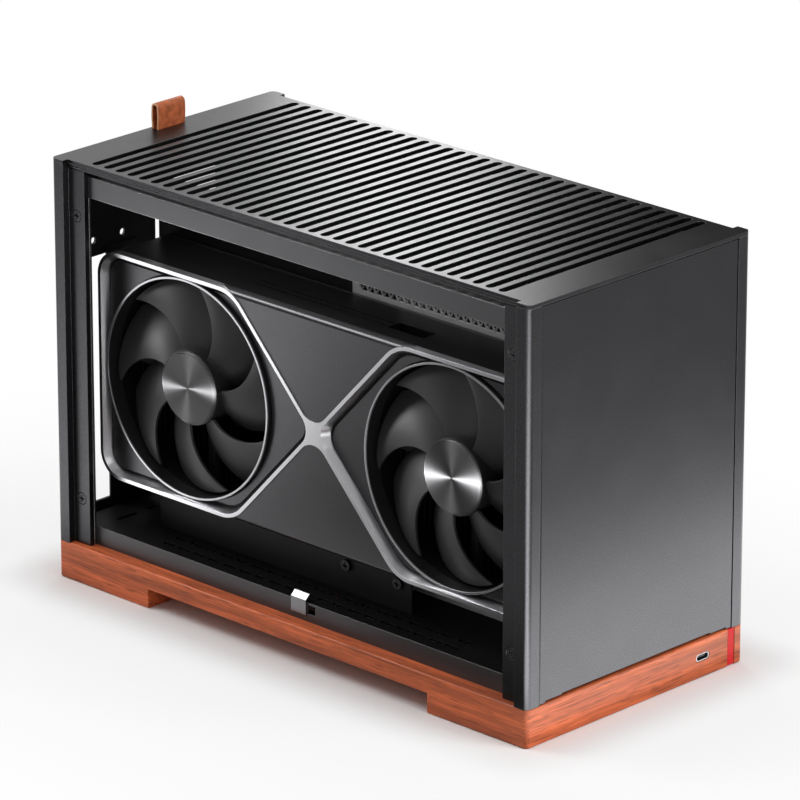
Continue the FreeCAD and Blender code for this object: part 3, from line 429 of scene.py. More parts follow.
class HideGrain(SharedGroup):
    """Pebbled hide with slow colour clouds."""

    title = "hide_grain"
    inputs = (Socket("Vector", Kind.VECTOR), Socket("Scale", Kind.VALUE, 1600.0))
    outputs = (Socket("Cloud"), Socket("Crease"), Socket("Height"))
    crease_width: float = 0.12
    crease_height: float = -0.6
    fibre_scale: float = 5200.0
    fibre_height: float = 0.4
    cloud_scale: float = 320.0

    @classmethod
    def fill(cls, tree: Tree, given: Outputs) -> dict[str, Output]:
        """Adds pebbles, creases and clouds.

        Args:
            tree: The group's tree.
            given: The group's inputs.

        Returns:
            Output name to the socket that feeds it.
        """
        sockets = {"Vector": given["Vector"], "Scale": given["Scale"]}
        cell = tree.add("ShaderNodeTexVoronoi", sockets, feature="DISTANCE_TO_EDGE").outputs[0]
        crease = tree.span(cell, 0.0, cls.crease_width, 1.0, 0.0)
        fibre = tree.noise(given["Vector"], cls.fibre_scale, 3.0, 0.6)
        cloud = tree.noise(given["Vector"], cls.cloud_scale, 3.0, 0.55)
        sunk = tree.sum("MULTIPLY", crease, cls.crease_height)
        height = tree.sum("MULTIPLY_ADD", fibre, cls.fibre_height, sunk)
        return {"Cloud": tree.span(cloud, *NOISE_RANGE), "Crease": crease, "Height": height}


class TurnedRings(SharedGroup):
    """Fine turning marks round an axis along Y through a middle point."""

    title = "turned_rings"
    inputs = (
        Socket("Vector", Kind.VECTOR),
        Socket("Middle", Kind.VECTOR),
        Socket("Pitch", Kind.VALUE, 0.0004),
    )
    outputs = (Socket("Mark"), Socket("Height"))

    @classmethod
    def fill(cls, tree: Tree, given: Outputs) -> dict[str, Output]:
        """Adds rings by distance from the axis.

        Args:
            tree: The group's tree.
            given: The group's inputs.

        Returns:
            Output name to the socket that feeds it.
        """
        offset = tree.vector("SUBTRACT", given["Vector"], given["Middle"])["Vector"]
        level = tree.vector("MULTIPLY", offset, (1.0, 0.0, 1.0))["Vector"]
        turns = tree.sum("DIVIDE", tree.vector("LENGTH", level)["Value"], given["Pitch"])
        line = tree.add("ShaderNodeCombineXYZ", {0: turns}).outputs[0]
        mark = tree.noise(line, 1.0, 2.0, 0.6)
        return {"Mark": tree.span(mark, *NOISE_RANGE), "Height": mark}


def blank_material(name: str) -> tuple[bpy.types.Material, Tree]:
    """Makes an empty node material.

    Args:
        name: Name of the material.

    Returns:
        The material and its tree.
    """
    made = bpy.data.materials.new(name)
    made.use_nodes = True
    made.node_tree.nodes.clear()
    return made, Tree(made.node_tree)


@dataclass(frozen=True)
class Finish:
    """A finish with speckle, handling marks and soft edges, which show wear on most finishes and painted
    highlight or painted shade on a few.

    Args:
        name: Name of the material.
        colour: Base colour, linear.
        roughness: Middle roughness.
        metallic: 1 for bare or anodised metal.
        wear_and_shading_colour: Colour of the broken edges; on most finishes it is wear, on the grey steel
            a painted highlight and on the black screws painted shade.
        wear_and_shading_amount: How much the edges show it.
        grain: Speckle cells per metre.
        contrast: How much the speckle changes the colour.
        relief: Depth of the speckle, in metres.
        edge: Radius of the softened edges, in metres.
        coat: Clear coat weight.
        shine: Specular level of what is not metal.
        smoother: How far the roughness falls under its middle.
        rougher: How far the roughness rises over its middle.
        strength: How much of the relief shows.
    """

    name: str
    colour: Colour
    roughness: float
    metallic: float = 0.0
    wear_and_shading_colour: Colour = grey(0.2)
    wear_and_shading_amount: float = 0.25
    grain: float = 1500.0
    contrast: float = 0.35
    relief: float = 0.02 * MM
    edge: float = 0.4 * MM
    coat: float = 0.0
    shine: float = 0.5
    smoother: float = 0.012
    rougher: float = 0.018
    strength: float = 0.5

    def material(self) -> bpy.types.Material:
        """The finish's material, made on first use."""
        return bpy.data.materials.get(self.title()) or self.build()

    def title(self) -> str:
        """Name of the material, apart from the plain one that comes with the frame."""
        return f"dressed_{self.name}"

    def start(self) -> tuple[bpy.types.Material, Tree]:
        """Makes the empty material, with the finish's colour for plain views.

        Returns:
            The material and its tree.
        """
        made, tree = blank_material(self.title())
        made.diffuse_color = (*self.colour, 1.0)
        return made, tree

    def shades(self) -> tuple[Colour, Colour]:
        """Works out the two colours of the speckle.

        Returns:
            The darker and the lighter colour.
        """
        dark = tuple(c * (1.0 - self.contrast) for c in self.colour)
        light = tuple(min(c * (1.0 + self.contrast), 1.0) for c in self.colour)
        return dark, light

    def speckle(self, tree: Tree, place: Output) -> Outputs:
        """Outputs of the speckle group, at this finish's scale."""
        values = {"Vector": place, "Scale": self.grain, "Contrast": SPECKLE_CONTRAST}
        return BlastGrain.use(tree, values)

    def edges(self, tree: Tree, place: Output) -> Outputs:
        """Outputs of the edge group at this finish's radius and amount; its mask lays wear, and on some
        finishes painted highlight or painted shade.
        """
        return EdgeWearAndShading.use(tree, {"Vector": place, "Radius": self.edge, "Amount": self.wear_and_shading_amount})

    def uneven(self, tree: Tree, mask: Output) -> Output:
        """Roughness that a mask moves a little to both sides of the middle."""
        return tree.span(mask, 0.0, 1.0, self.roughness - self.smoother, self.roughness + self.rougher)

    def bent(self, tree: Tree, height: Output, under: Output | None = None) -> Output:
        """Normal that the finish's relief bends.

        Args:
            tree: The material's tree.
            height: Height of the relief.
            under: Normal that it lies on, if it is not the mesh's own.

        Returns:
            The bent normal.
        """
        sockets = {"Height": height, "Strength": self.strength, "Distance": self.relief}
        if under is not None:
            sockets["Normal"] = under
        return tree.add("ShaderNodeBump", sockets).outputs[0]

    def surface(
        self,
        tree: Tree,
        colour: Output,
        rough: Output,
        normal: Output,
        more: dict | None = None,
    ) -> None:
        """Adds the surface shader and the output.

        Args:
            tree: The material's tree.
            colour: Colour of the surface.
            rough: Roughness of the surface.
            normal: Bent normal.
            more: Other inputs of the shader, or its own values for those that the finish sets.
        """
        sockets = {
            "Base Color": colour,
            "Roughness": rough,
            "Normal": normal,
            "Metallic": self.metallic,
            "Specular IOR Level": self.shine,
            **(more or {}),
        }
        shader = tree.add("ShaderNodeBsdfPrincipled", sockets)
        tree.add("ShaderNodeOutputMaterial", {"Surface": shader.outputs[0]})

    def build(self) -> bpy.types.Material:
        """Makes the material from the shared groups.

        Returns:
            The new material.
        """
        made, tree = self.start()
        place = tree.place()
        grain = self.speckle(tree, place)
        edges = self.edges(tree, place)
        speckled = tree.blend(grain["Speckle"], *self.shades())
        colour = tree.blend(edges["Mask"], speckled, self.wear_and_shading_colour)
        rough = self.uneven(tree, grain["Marks"])
        normal = self.bent(tree, grain["Height"], edges["Normal"])
        coated = {"Coat Weight": self.coat, "Coat Roughness": COAT_ROUGHNESS} if self.coat else {}
        self.surface(tree, colour, rough, normal, coated)
        return made


@dataclass(frozen=True)
class WoodFinish(Finish):
    """Oiled hardwood boards, mitred at the corners, with the grain along each board.

    Args:
        deep: Colour of the dark fibres and pores.
        half_length: Half of the plinth's length.
        half_width: Half of the plinth's width.
        long_seed: Place in the grain that the long boards are cut from.
        end_seed: Place in the grain that the end boards are cut from.
        fibre: How dark the fibres are.
        pore: How dark the pores are.
    """

    deep: Colour = (0.17, 0.038, 0.015)
    half_length: float = 164.0 * MM
    half_width: float = 78.5 * MM
    long_seed: float = 0.37
    end_seed: float = 1.91
    fibre: float = 0.42
    pore: float = 0.6
    smoother: float = 0.05
    rougher: float = 0.08

    def build(self) -> bpy.types.Material:
        """Makes the material; long boards run along X and end boards along Y.

        Returns:
            The new material.
        """
        made, tree = self.start()
        place = tree.place()
        part = tree.parts(place)
        turned = tree.add("ShaderNodeCombineXYZ", {0: part["Y"], 1: part["X"], 2: part["Z"]}).outputs[0]
        end_gap = tree.sum("SUBTRACT", self.half_length, tree.off_middle(place, Axis.X))
        side_gap = tree.sum("SUBTRACT", self.half_width, tree.off_middle(place, Axis.Y))
        is_end = tree.sum("LESS_THAN", end_gap, side_gap)
        long_board = WoodGrain.use(tree, {"Vector": place, "Seed": self.long_seed})
        end_board = WoodGrain.use(tree, {"Vector": turned, "Seed": self.end_seed})
        edges = self.edges(tree, place)

        def board(name: str) -> Output:
            """One grain value, taken from the board that is there."""
            sockets = {0: is_end, 2: long_board[name], 3: end_board[name]}
            return tree.add("ShaderNodeMix", sockets, data_type="FLOAT").outputs[0]

        body = tree.blend(board("Streak"), *self.shades())
        fibred = tree.blend(tree.sum("MULTIPLY", board("Fibre"), self.fibre), body, self.deep)
        pored = tree.blend(tree.sum("MULTIPLY", board("Pore"), self.pore), fibred, self.deep)
        colour = tree.blend(edges["Mask"], pored, self.wear_and_shading_colour)
        rough = self.uneven(tree, board("Fibre"))
        normal = self.bent(tree, board("Height"), edges["Normal"])
        self.surface(tree, colour, rough, normal)
        return made


@dataclass(frozen=True)
class LeatherFinish(Finish):
    """Vegetable-tanned leather with paler cut edges.

    Args:
        raw: Colour of the cut edges.
        half_width: Half of the strap's width, where the cut edges are.
        cut_from: How far inside them their colour starts.
        cut_full: How far inside them it is full.
        crease: How dark the creases are.
    """

    raw: Colour = (0.72, 0.38, 0.2)
    half_width: float = 9.6 * MM
    cut_from: float = 0.3 * MM
    cut_full: float = 0.1 * MM
    crease: float = 0.35
    smoother: float = 0.06
    rougher: float = 0.06
    strength: float = 0.6

    def build(self) -> bpy.types.Material:
        """Makes the material from hide grain and the cut edges' mask.

        Returns:
            The new material.
        """
        made, tree = self.start()
        place = tree.place()
        hide = HideGrain.use(tree, {"Vector": place, "Scale": self.grain})
        side = tree.off_middle(place, Axis.Y)
        cut = tree.span(side, self.half_width - self.cut_from, self.half_width - self.cut_full)
        dark, light = self.shades()
        clouded = tree.blend(hide["Cloud"], dark, light)
        creased = tree.blend(tree.sum("MULTIPLY", hide["Crease"], self.crease), clouded, dark)
        colour = tree.blend(cut, creased, self.raw)
        rough = self.uneven(tree, hide["Cloud"])
        self.surface(tree, colour, rough, self.bent(tree, hide["Height"]))
        return made


@dataclass(frozen=True)
class LippedFinish(Finish):
    """Coated piece whose outer part is metal of another colour.

    Args:
        lip: Colour of the outer part.
        front: Distance from the frame's middle at which the outer part starts.
        axis: Axis along which that distance is taken.
        soft: Half of the width over which the two meet.
    """

    lip: Colour = (0.42, 0.42, 0.435)
    front: float = 0.0
    axis: Axis = Axis.Y
    soft: float = 0.1 * MM

    def build(self) -> bpy.types.Material:
        """Makes the material; the outer part is metal and the rest is not.

        Returns:
            The new material.
        """
        made, tree = self.start()
        place = tree.place()
        grain = self.speckle(tree, place)
        edges = self.edges(tree, place)
        depth = tree.off_middle(place, self.axis)
        metal = tree.span(depth, self.front - self.soft, self.front + self.soft)
        body = tree.blend(grain["Speckle"], *self.shades())
        outer = tree.blend(edges["Mask"], self.lip, self.wear_and_shading_colour)
        colour = tree.blend(metal, body, outer)
        rough = self.uneven(tree, grain["Marks"])
        normal = self.bent(tree, grain["Height"], edges["Normal"])
        self.surface(tree, colour, rough, normal, {"Metallic": metal})
        return made


@dataclass(frozen=True)
class SpunFinish(Finish):
    """Metal turned on a lathe, with its sheen drawn out across fine rings.

    Args:
        middle: Point on the axis of turning, which runs along Y.
        pitch: Spacing of the rings.
        drawn: How far the sheen is drawn out.
        across: Turn of the sheen from along the rings, in full turns.
    """

    middle: Point = (0.0, 0.0, 0.0)
    pitch: float = 0.3 * MM
    drawn: float = 0.97
    across: float = 0.25
    smoother: float = 0.04
    rougher: float = 0.06
    strength: float = 0.3

    def build(self) -> bpy.types.Material:
        """Makes the material from the turned rings.

        Returns:
            The new material.
        """
        made, tree = self.start()
        place = tree.place()
        rings = TurnedRings.use(tree, {"Vector": place, "Middle": self.middle, "Pitch": self.pitch})
        edges = self.edges(tree, place)
        marked = tree.blend(rings["Mark"], *self.shades())
        colour = tree.blend(edges["Mask"], marked, self.wear_and_shading_colour)
        rough = self.uneven(tree, rings["Mark"])
        normal = self.bent(tree, rings["Height"], edges["Normal"])
        around = tree.add("ShaderNodeTangent", direction_type="RADIAL", axis=Axis.Y.value).outputs[0]
        sheen = {"Anisotropic": self.drawn, "Anisotropic Rotation": self.across, "Tangent": around}
        self.surface(tree, colour, rough, normal, sheen)
        return made


WOOD = WoodFinish(
    "oiled_wood",
    (0.68, 0.148, 0.046),
    0.5,
    wear_and_shading_amount=0.5,
    wear_and_shading_colour=(0.72, 0.24, 0.11),
    contrast=0.36,
    relief=0.08 * MM,
    shine=0.32,
)
ANODISED = Finish(
    "dark_anodised",
    (0.050, 0.050, 0.053),
    0.34,
    1.0,
    wear_and_shading_colour=(0.16, 0.16, 0.165),
    wear_and_shading_amount=0.35,
    contrast=0.3,
    edge=0.25 * MM,
)
GREY_COAT = LippedFinish(
    "grey_steel",
    grey(0.004),
    0.4,
    # Near-white edges laid on strongly: mostly a painted highlight line along the rails' edges, with some
    # wear.
    wear_and_shading_colour=(0.75, 0.75, 0.76),
    wear_and_shading_amount=0.9,
    edge=0.6 * MM,
    shine=0.2,
    lip=(0.12, 0.12, 0.125),
    front=70.2 * MM,
)
BLACK_COAT = Finish("black_steel", grey(0.007), 0.5, wear_and_shading_colour=grey(0.05), grain=2200.0, shine=0.25)
TRAY_COAT = LippedFinish(
    "tray_steel",
    grey(0.005),
    0.5,
    wear_and_shading_colour=grey(0.2),
    shine=0.06,
    lip=(0.10, 0.10, 0.104),
    front=69.8 * MM,
)
# Pale perforated screen; its part above 184 mm is painted near black as painted shade, so that the top
# slots over it look dark.
PALE_MESH_PAINTED_SHADE_TOP = LippedFinish(
    "pale_mesh",
    (0.62, 0.62, 0.63),
    0.42,
    contrast=0.15,
    wear_and_shading_colour=grey(0.02),
    lip=grey(0.005),
    front=184.0 * MM,
    axis=Axis.Z,
)
LEATHER = LeatherFinish(
    "tan_leather", (0.45, 0.115, 0.038), 0.52, contrast=0.28, relief=0.08 * MM, grain=1500.0, shine=0.3
)
# Edges of the heads and of their cross recesses are painted darker than the heads: painted shade.
BLACK_SCREW = Finish("black_screws", (0.05, 0.05, 0.053), 0.36, 0.9, wear_and_shading_colour=grey(0.02), wear_and_shading_amount=0.8)
BRIGHT_STEEL = Finish("bright_steel", (0.58, 0.58, 0.59), 0.28, 1.0, wear_and_shading_colour=grey(0.8), contrast=0.1)
DARK_STEEL = Finish("dark_steel", (0.02, 0.02, 0.021), 0.45, 0.8, wear_and_shading_colour=grey(0.1), contrast=0.2)
BRASS = Finish("brass", (0.62, 0.42, 0.16), 0.3, 1.0, wear_and_shading_colour=(0.85, 0.66, 0.36), contrast=0.12)
RUBBER = Finish("rubber", grey(0.018), 0.78, wear_and_shading_colour=grey(0.06), relief=0.06 * MM, grain=2600.0)
CLIP_STEEL = Finish("clip_steel", (0.24, 0.24, 0.25), 0.34, 1.0, wear_and_shading_colour=grey(0.6), contrast=0.12)
SILVER = Finish(
    "silver_frame",
    (0.66, 0.66, 0.68),
    0.3,
    1.0,
    wear_and_shading_colour=(0.8, 0.8, 0.82),
    contrast=0.06,
    relief=0.004 * MM,
    edge=0.2 * MM,
)
RING = LippedFinish(
    "silver_lip", (0.012, 0.012, 0.013), 0.3, wear_and_shading_colour=(0.9, 0.9, 0.92), grain=2600.0, front=59.6 * MM
)
CARD_GREY = Finish(
    "card_grey", (0.084, 0.084, 0.088), 0.32, 0.9, wear_and_shading_colour=(0.3, 0.3, 0.31), contrast=0.18, grain=2600.0
)
CARD_SHELL = Finish("card_shell", grey(0.006), 0.42, wear_and_shading_colour=grey(0.05), grain=2600.0, shine=0.12)
CARD_BLACK = Finish(
    "card_black", (0.026, 0.026, 0.027), 0.42, wear_and_shading_colour=grey(0.08), contrast=0.2, grain=2600.0, shine=0.3
)
FIN_METAL = Finish("fin_metal", (0.016, 0.016, 0.017), 0.45, 0.8, wear_and_shading_colour=grey(0.06), contrast=0.2)
BOARD_BLACK = Finish("board_black", (0.016, 0.018, 0.017), 0.45, wear_and_shading_colour=(0.2, 0.16, 0.08), coat=0.3)
PORT_METAL = Finish("port_metal", (0.36, 0.36, 0.37), 0.3, 1.0, wear_and_shading_colour=grey(0.9), contrast=0.1)
BLACK_PLASTIC = Finish("black_plastic", (0.014, 0.014, 0.015), 0.46, wear_and_shading_colour=grey(0.06))
RED_KEY = Finish(
    "red_key",
    (0.70, 0.030, 0.032),
    0.55,
    wear_and_shading_colour=(0.9, 0.12, 0.12),
    wear_and_shading_amount=0.3,
    contrast=0.06,
    grain=2600.0,
    shine=0.08,
)


def dress(finish: Finish, *nodes: str) -> None:
    """Gives CAD pieces a finish.

    Args:
        finish: The finish they get.
        nodes: Names of the pieces.
    """
    for name in nodes:
        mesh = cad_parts[name].data
        mesh.materials.clear()
        mesh.materials.append(finish.material())
        LOG.info("%s dressed in %s", name, finish.name)


def add_piece(name: str, shape: bmesh.types.BMesh, finish: Finish) -> bpy.types.Object:
    """Turns a worked mesh into an object of the scene.

    Args:
        name: Name of the piece.
        shape: The worked mesh, which is freed.
        finish: The finish it gets.

    Returns:
        The new object.
    """
    bmesh.ops.recalc_face_normals(shape, faces=shape.faces)
    mesh = bpy.data.meshes.new(name)
    shape.to_mesh(mesh)
    shape.free()
    for face in mesh.polygons:
        face.use_smooth = True
    mesh.materials.append(finish.material())
    return put(name, mesh)


def skin(shape: bmesh.types.BMesh, rings: list[list[Point]]) -> None:
    """Covers a closed row of equal rings with faces.

    Args:
        shape: Mesh that gets the faces.
        rings: The rings' points in order; the last ring meets the first.
    """
    rows = [[shape.verts.new(point) for point in ring] for ring in rings]
    count = len(rows[0])
    for i, here in enumerate(rows):
        there = rows[(i + 1) % len(rows)]
        for j in range(count):
            k = (j + 1) % count
            shape.faces.new((here[j], here[k], there[k], there[j]))


@dataclass
class Plinth:
    """Wooden plinth with its pads, screws, port and key."""

    def build(self) -> None:
        """Dresses the plinth's pieces."""
        dress(WOOD, "base_plinth")
        dress(RUBBER, "foot_pads")
        dress(BLACK_SCREW, "base_screws")
        dress(PORT_METAL, "port_shell")
        dress(BLACK_PLASTIC, "port_tongue", "power_switch")
        dress(BOARD_BLACK, "io_board")
        dress(RED_KEY, "power_key")


@dataclass
class Shell:
    """Posts, panels, frames and fasteners of the case."""

    def build(self) -> None:
        """Dresses the shell's pieces."""
        dress(ANODISED, *POSTS, "front_panel", "top_panel", "side_panel")
        dress(GREY_COAT, "left_frame", "right_frame")
        dress(TRAY_COAT, "floor_tray")
        dress(BLACK_COAT, "rear_panel")
        dress(BLACK_SCREW, "post_screws", "rear_screws", "front_screws")
        dress(BRIGHT_STEEL, "top_pins", "tab_pin", "side_magnets")
        dress(CLIP_STEEL, "panel_clips")


@dataclass
class PullTab:
    """Leather loop through the top plate, folded over and held by its pin.

    Args:
        x: Middle of the loop along the case.
        width: Width of the strap.
        thick: Thickness of the leather.
        soft: Radius of the strap's edges.
        low: Height of the pin's middle.
        high: Top of the fold.
        plate: Top face of the plate, above which the legs bow out.
        pin: Radius of the pin.
        bow: How far each leg bows out.
        level: Share of the outward direction along X under which a point is not bowed.
        steps: Lengths that each leg and each bend is made of.
        edge_steps: Lengths that each of the strap's edges is rounded with.
    """

    x: float = -160.5 * MM
    width: float = 19.2 * MM
    thick: float = 1.2 * MM
    soft: float = 0.35 * MM
    low: float = 221.9 * MM
    high: float = 238.5 * MM
    plate: float = 225.0 * MM
    pin: float = 1.1 * MM
    bow: float = 0.4 * MM
    level: float = 0.2
    steps: int = 14
    edge_steps: int = 3

    def radius(self) -> float:
        """Radius of the leather's middle line in both bends."""
        return self.pin + self.thick / 2

    def bend(self, height: float, start: float) -> list[Station]:
        """Half a turn of the middle line.

        Args:
            height: Height of its middle.
            start: Where it starts, in half turns from +X.

        Returns:
            Its points, each with its outward direction.
        """
        middle = Vector((self.x, 0.0, height))
        line = []
        for i in range(self.steps + 1):
            turn = math.pi * (start + i / self.steps)
            out = Vector((math.cos(turn), 0.0, math.sin(turn)))
            line.append((middle + out * self.radius(), out))
        return line

    def leg(self, side: float, first: float, last: float) -> list[Station]:
        """Straight part of the middle line, without its ends.

        Args:
            side: 1 for the leg towards +X, -1 for the other.
            first: Height at which it starts.
            last: Height at which it ends.

        Returns:
            Its points, each with its outward direction.
        """
        out = Vector((side, 0.0, 0.0))
        line = []
        for i in range(1, self.steps):
            height = first + (last - first) * i / self.steps
            line.append((Vector((self.x + side * self.radius(), 0.0, height)), out))
        return line

    def path(self) -> list[Station]:
        """Middle line of the leather.

        Returns:
            Points of the closed line, each with its outward direction, in the plane across Y.
        """
        top = self.high - self.thick / 2 - self.radius()
        fold = self.bend(top, 0.0) + self.leg(-1.0, top, self.low)
        around_pin = self.bend(self.low, 1.0) + self.leg(1.0, self.low, top)
        return [(point + self.swell(point, out), out) for point, out in fold + around_pin]

    def swell(self, point: Vector, out: Vector) -> Vector:
        """How far a point of the line moves as the legs bow out.

        Args:
            point: Point of the line.
            out: Its outward direction.

        Returns:
            The move along X.
        """
        share = (point.z - self.plate) / (self.high - self.plate)
        lift = math.sin(math.pi * min(max(share, 0.0), 1.0)) * self.bow
        return Vector((math.copysign(lift, out.x) if abs(out.x) > self.level else 0.0, 0.0, 0.0))

    def section(self) -> list[tuple[float, float]]:
        """Round-edged section of the strap.

        Returns:
            Its points, as pairs of a place across the strap and one through its thickness.
        """
        half, deep = self.width / 2, self.thick / 2
        corners = ((half, deep), (-half, deep), (-half, -deep), (half, -deep))
        pairs = []
        for start, (across, through) in enumerate(corners):
            middle_across = across - math.copysign(self.soft, across)
            middle_through = through - math.copysign(self.soft, through)
            for i in range(self.edge_steps + 1):
                turn = math.pi / 2 * (start + i / self.edge_steps)
                reach, rise = self.soft * math.cos(turn), self.soft * math.sin(turn)
                pairs.append((middle_across + reach, middle_through + rise))
        return pairs

    def build(self) -> None:
        """Models the loop in place of its plain solid."""
        shape = bmesh.new()
        rings = []
        for point, out in self.path():
            rings.append([tuple(point + out * t + Vector((0.0, w, 0.0))) for w, t in self.section()])
        skin(shape, rings)
        loop = add_piece("leather_loop", shape, LEATHER)
        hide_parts("pull_tab")
        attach(loop, "top_panel")
        LOG.info("leather loop modelled")


@dataclass
class Interior:
    """Divider, screen, brackets and riser inside the case."""

    def build(self) -> None:
        """Dresses the inner pieces."""
        dress(BLACK_COAT, "board_tray", "psu_bracket", "riser_bracket")
        dress(PALE_MESH_PAINTED_SHADE_TOP, "vent_screen")
        dress(BRASS, "standoffs")
        dress(BLACK_SCREW, "riser_screws")
        dress(BLACK_PLASTIC, "riser_socket")


@dataclass
class FanWheel:
    """One fan of the card: ring, wheel, spun cap, mount and fins.

    Args:
        end: End of the card that it is at.
        x: Middle of the fan along the case.
        z: Height of its middle.
    """

    end: End
    x: float
    z: float

    def build(self) -> None:
        """Dresses the fan's pieces."""
        name = self.end.value
        spun = SpunFinish(
            f"spun_metal_{name}",
            (0.12, 0.12, 0.123),
            0.6,
            1.0,
            wear_and_shading_colour=grey(0.5),
            contrast=0.08,
            middle=(self.x, 0.0, self.z),
        )
        dress(RING, f"ring_{name}")
        dress(CARD_BLACK, f"rotor_{name}", f"fan_mount_{name}")
        dress(spun, f"hub_cap_{name}")
        dress(FIN_METAL, f"fins_{name}")


@dataclass
class GraphicsCard:
    """The card: bright X frame, dark plates, shroud and its two fans.

    Args:
        rear_fan: Middle of the rear fan along the case.
        front_fan: Middle of the front fan along the case.
        fan_height: Height of both middles.
    """

    rear_fan: float = -87.2 * MM
    front_fan: float = 95.6 * MM
    fan_height: float = 116.0 * MM

    def build(self) -> None:
        """Dresses the card's pieces and its fans."""
        dress(SILVER, "card_frame")
        dress(CARD_GREY, "card_plate_upper", "card_plate_lower", "card_bay_plates", "card_backplate")
        dress(CARD_SHELL, "card_shroud")
        dress(DARK_STEEL, "card_bracket")
        dress(BRASS, "card_contacts")
        for end, middle in ((End.REAR, self.rear_fan), (End.FRONT, self.front_fan)):
            FanWheel(end, middle, self.fan_height).build()


@dataclass(frozen=True)
class Lamp:
    """One soft lamp of the studio.

    Args:
        name: Name of the lamp.
        at: Where it stands.
        aim: What it points at.
        size: Its width and height.
        power: Its power in watts.
        turn: Turn about its own axis.
        only: Names of the pieces it lights, or none for all.
        sheen: True if only reflections see it.
    """

    name: str
    at: Point
    aim: Point
    size: tuple[float, float]
    power: float
    turn: float = 0.0
    only: tuple[str, ...] = ()
    sheen: bool = False

    @classmethod
    def on_floor(
        cls,
        name: str,
        spot: tuple[float, float],
        size: tuple[float, float],
        power: float,
        turn: float = 0.0,
        only: tuple[str, ...] = (),
    ) -> "Lamp":
        """A lamp that lies on the floor, points up and is seen by reflections only.

        Args:
            name: Name of the lamp.
            spot: X and Y of its middle.
            size: Its width and height.
            power: Its power in watts.
            turn: Turn about its own axis.
            only: Names of the pieces it lights, or none for all.

        Returns:
            The lamp.
        """
        over_floor = 4.0 * MM
        # A little off plumb, so that the turn has a direction to start from
        lean = 1.0 * MM
        x, y = spot
        return cls(name, (x, y, over_floor), (x, y + lean, 1.0), size, power, turn, only, True)

    def build(self) -> None:
        """Adds the lamp to the scene."""
        data = bpy.data.lights.new(self.name, "AREA")
        data.shape = "RECTANGLE"
        data.size, data.size_y = self.size
        data.energy = self.power
        lamp = put(self.name, data)
        lamp.location = self.at
        turned = facing(self.at, self.aim) @ Quaternion((0.0, 0.0, 1.0), self.turn)
        lamp.rotation_euler = turned.to_euler()
        lamp.visible_camera = False
        lamp.visible_diffuse = not self.sheen
        if self.only:
            lit = bpy.data.collections.new(self.name)
            for name in self.only:
                lit.objects.link(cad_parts[name])
            lamp.light_linking.receiver_collection = lit


@dataclass(frozen=True)
class Flag:
    """Dark or grey card that only reflections see.

    Args:
        name: Name of the card.
        corners: Its corners in order.
        level: How much light it gives back.
        lighter: How much more its clouds give back, as a factor.
        clouds: Clouds per metre.
    """

    name: str
    corners: tuple[Point, ...]
    level: float = 0.03
    lighter: float = 1.2
    clouds: float = 8.0

    def build(self) -> None:
        """Adds the card to the stage."""
        mesh = bpy.data.meshes.new(self.name)
        mesh.from_pydata(self.corners, [], [tuple(range(len(self.corners)))])
        made, tree = blank_material(self.name)
        cloud = tree.noise(tree.place(), self.clouds)
        shade = tree.blend(cloud, grey(self.level), grey(self.level * self.lighter))
        dull = tree.add("ShaderNodeEmission", {"Color": shade, "Strength": 1.0})
        tree.add("ShaderNodeOutputMaterial", {"Surface": dull.outputs[0]})
        mesh.materials.append(made)
        card = put(self.name, mesh)
        card.visible_camera = False
        card.visible_diffuse = False
        card.visible_transmission = False
        card.visible_shadow = False


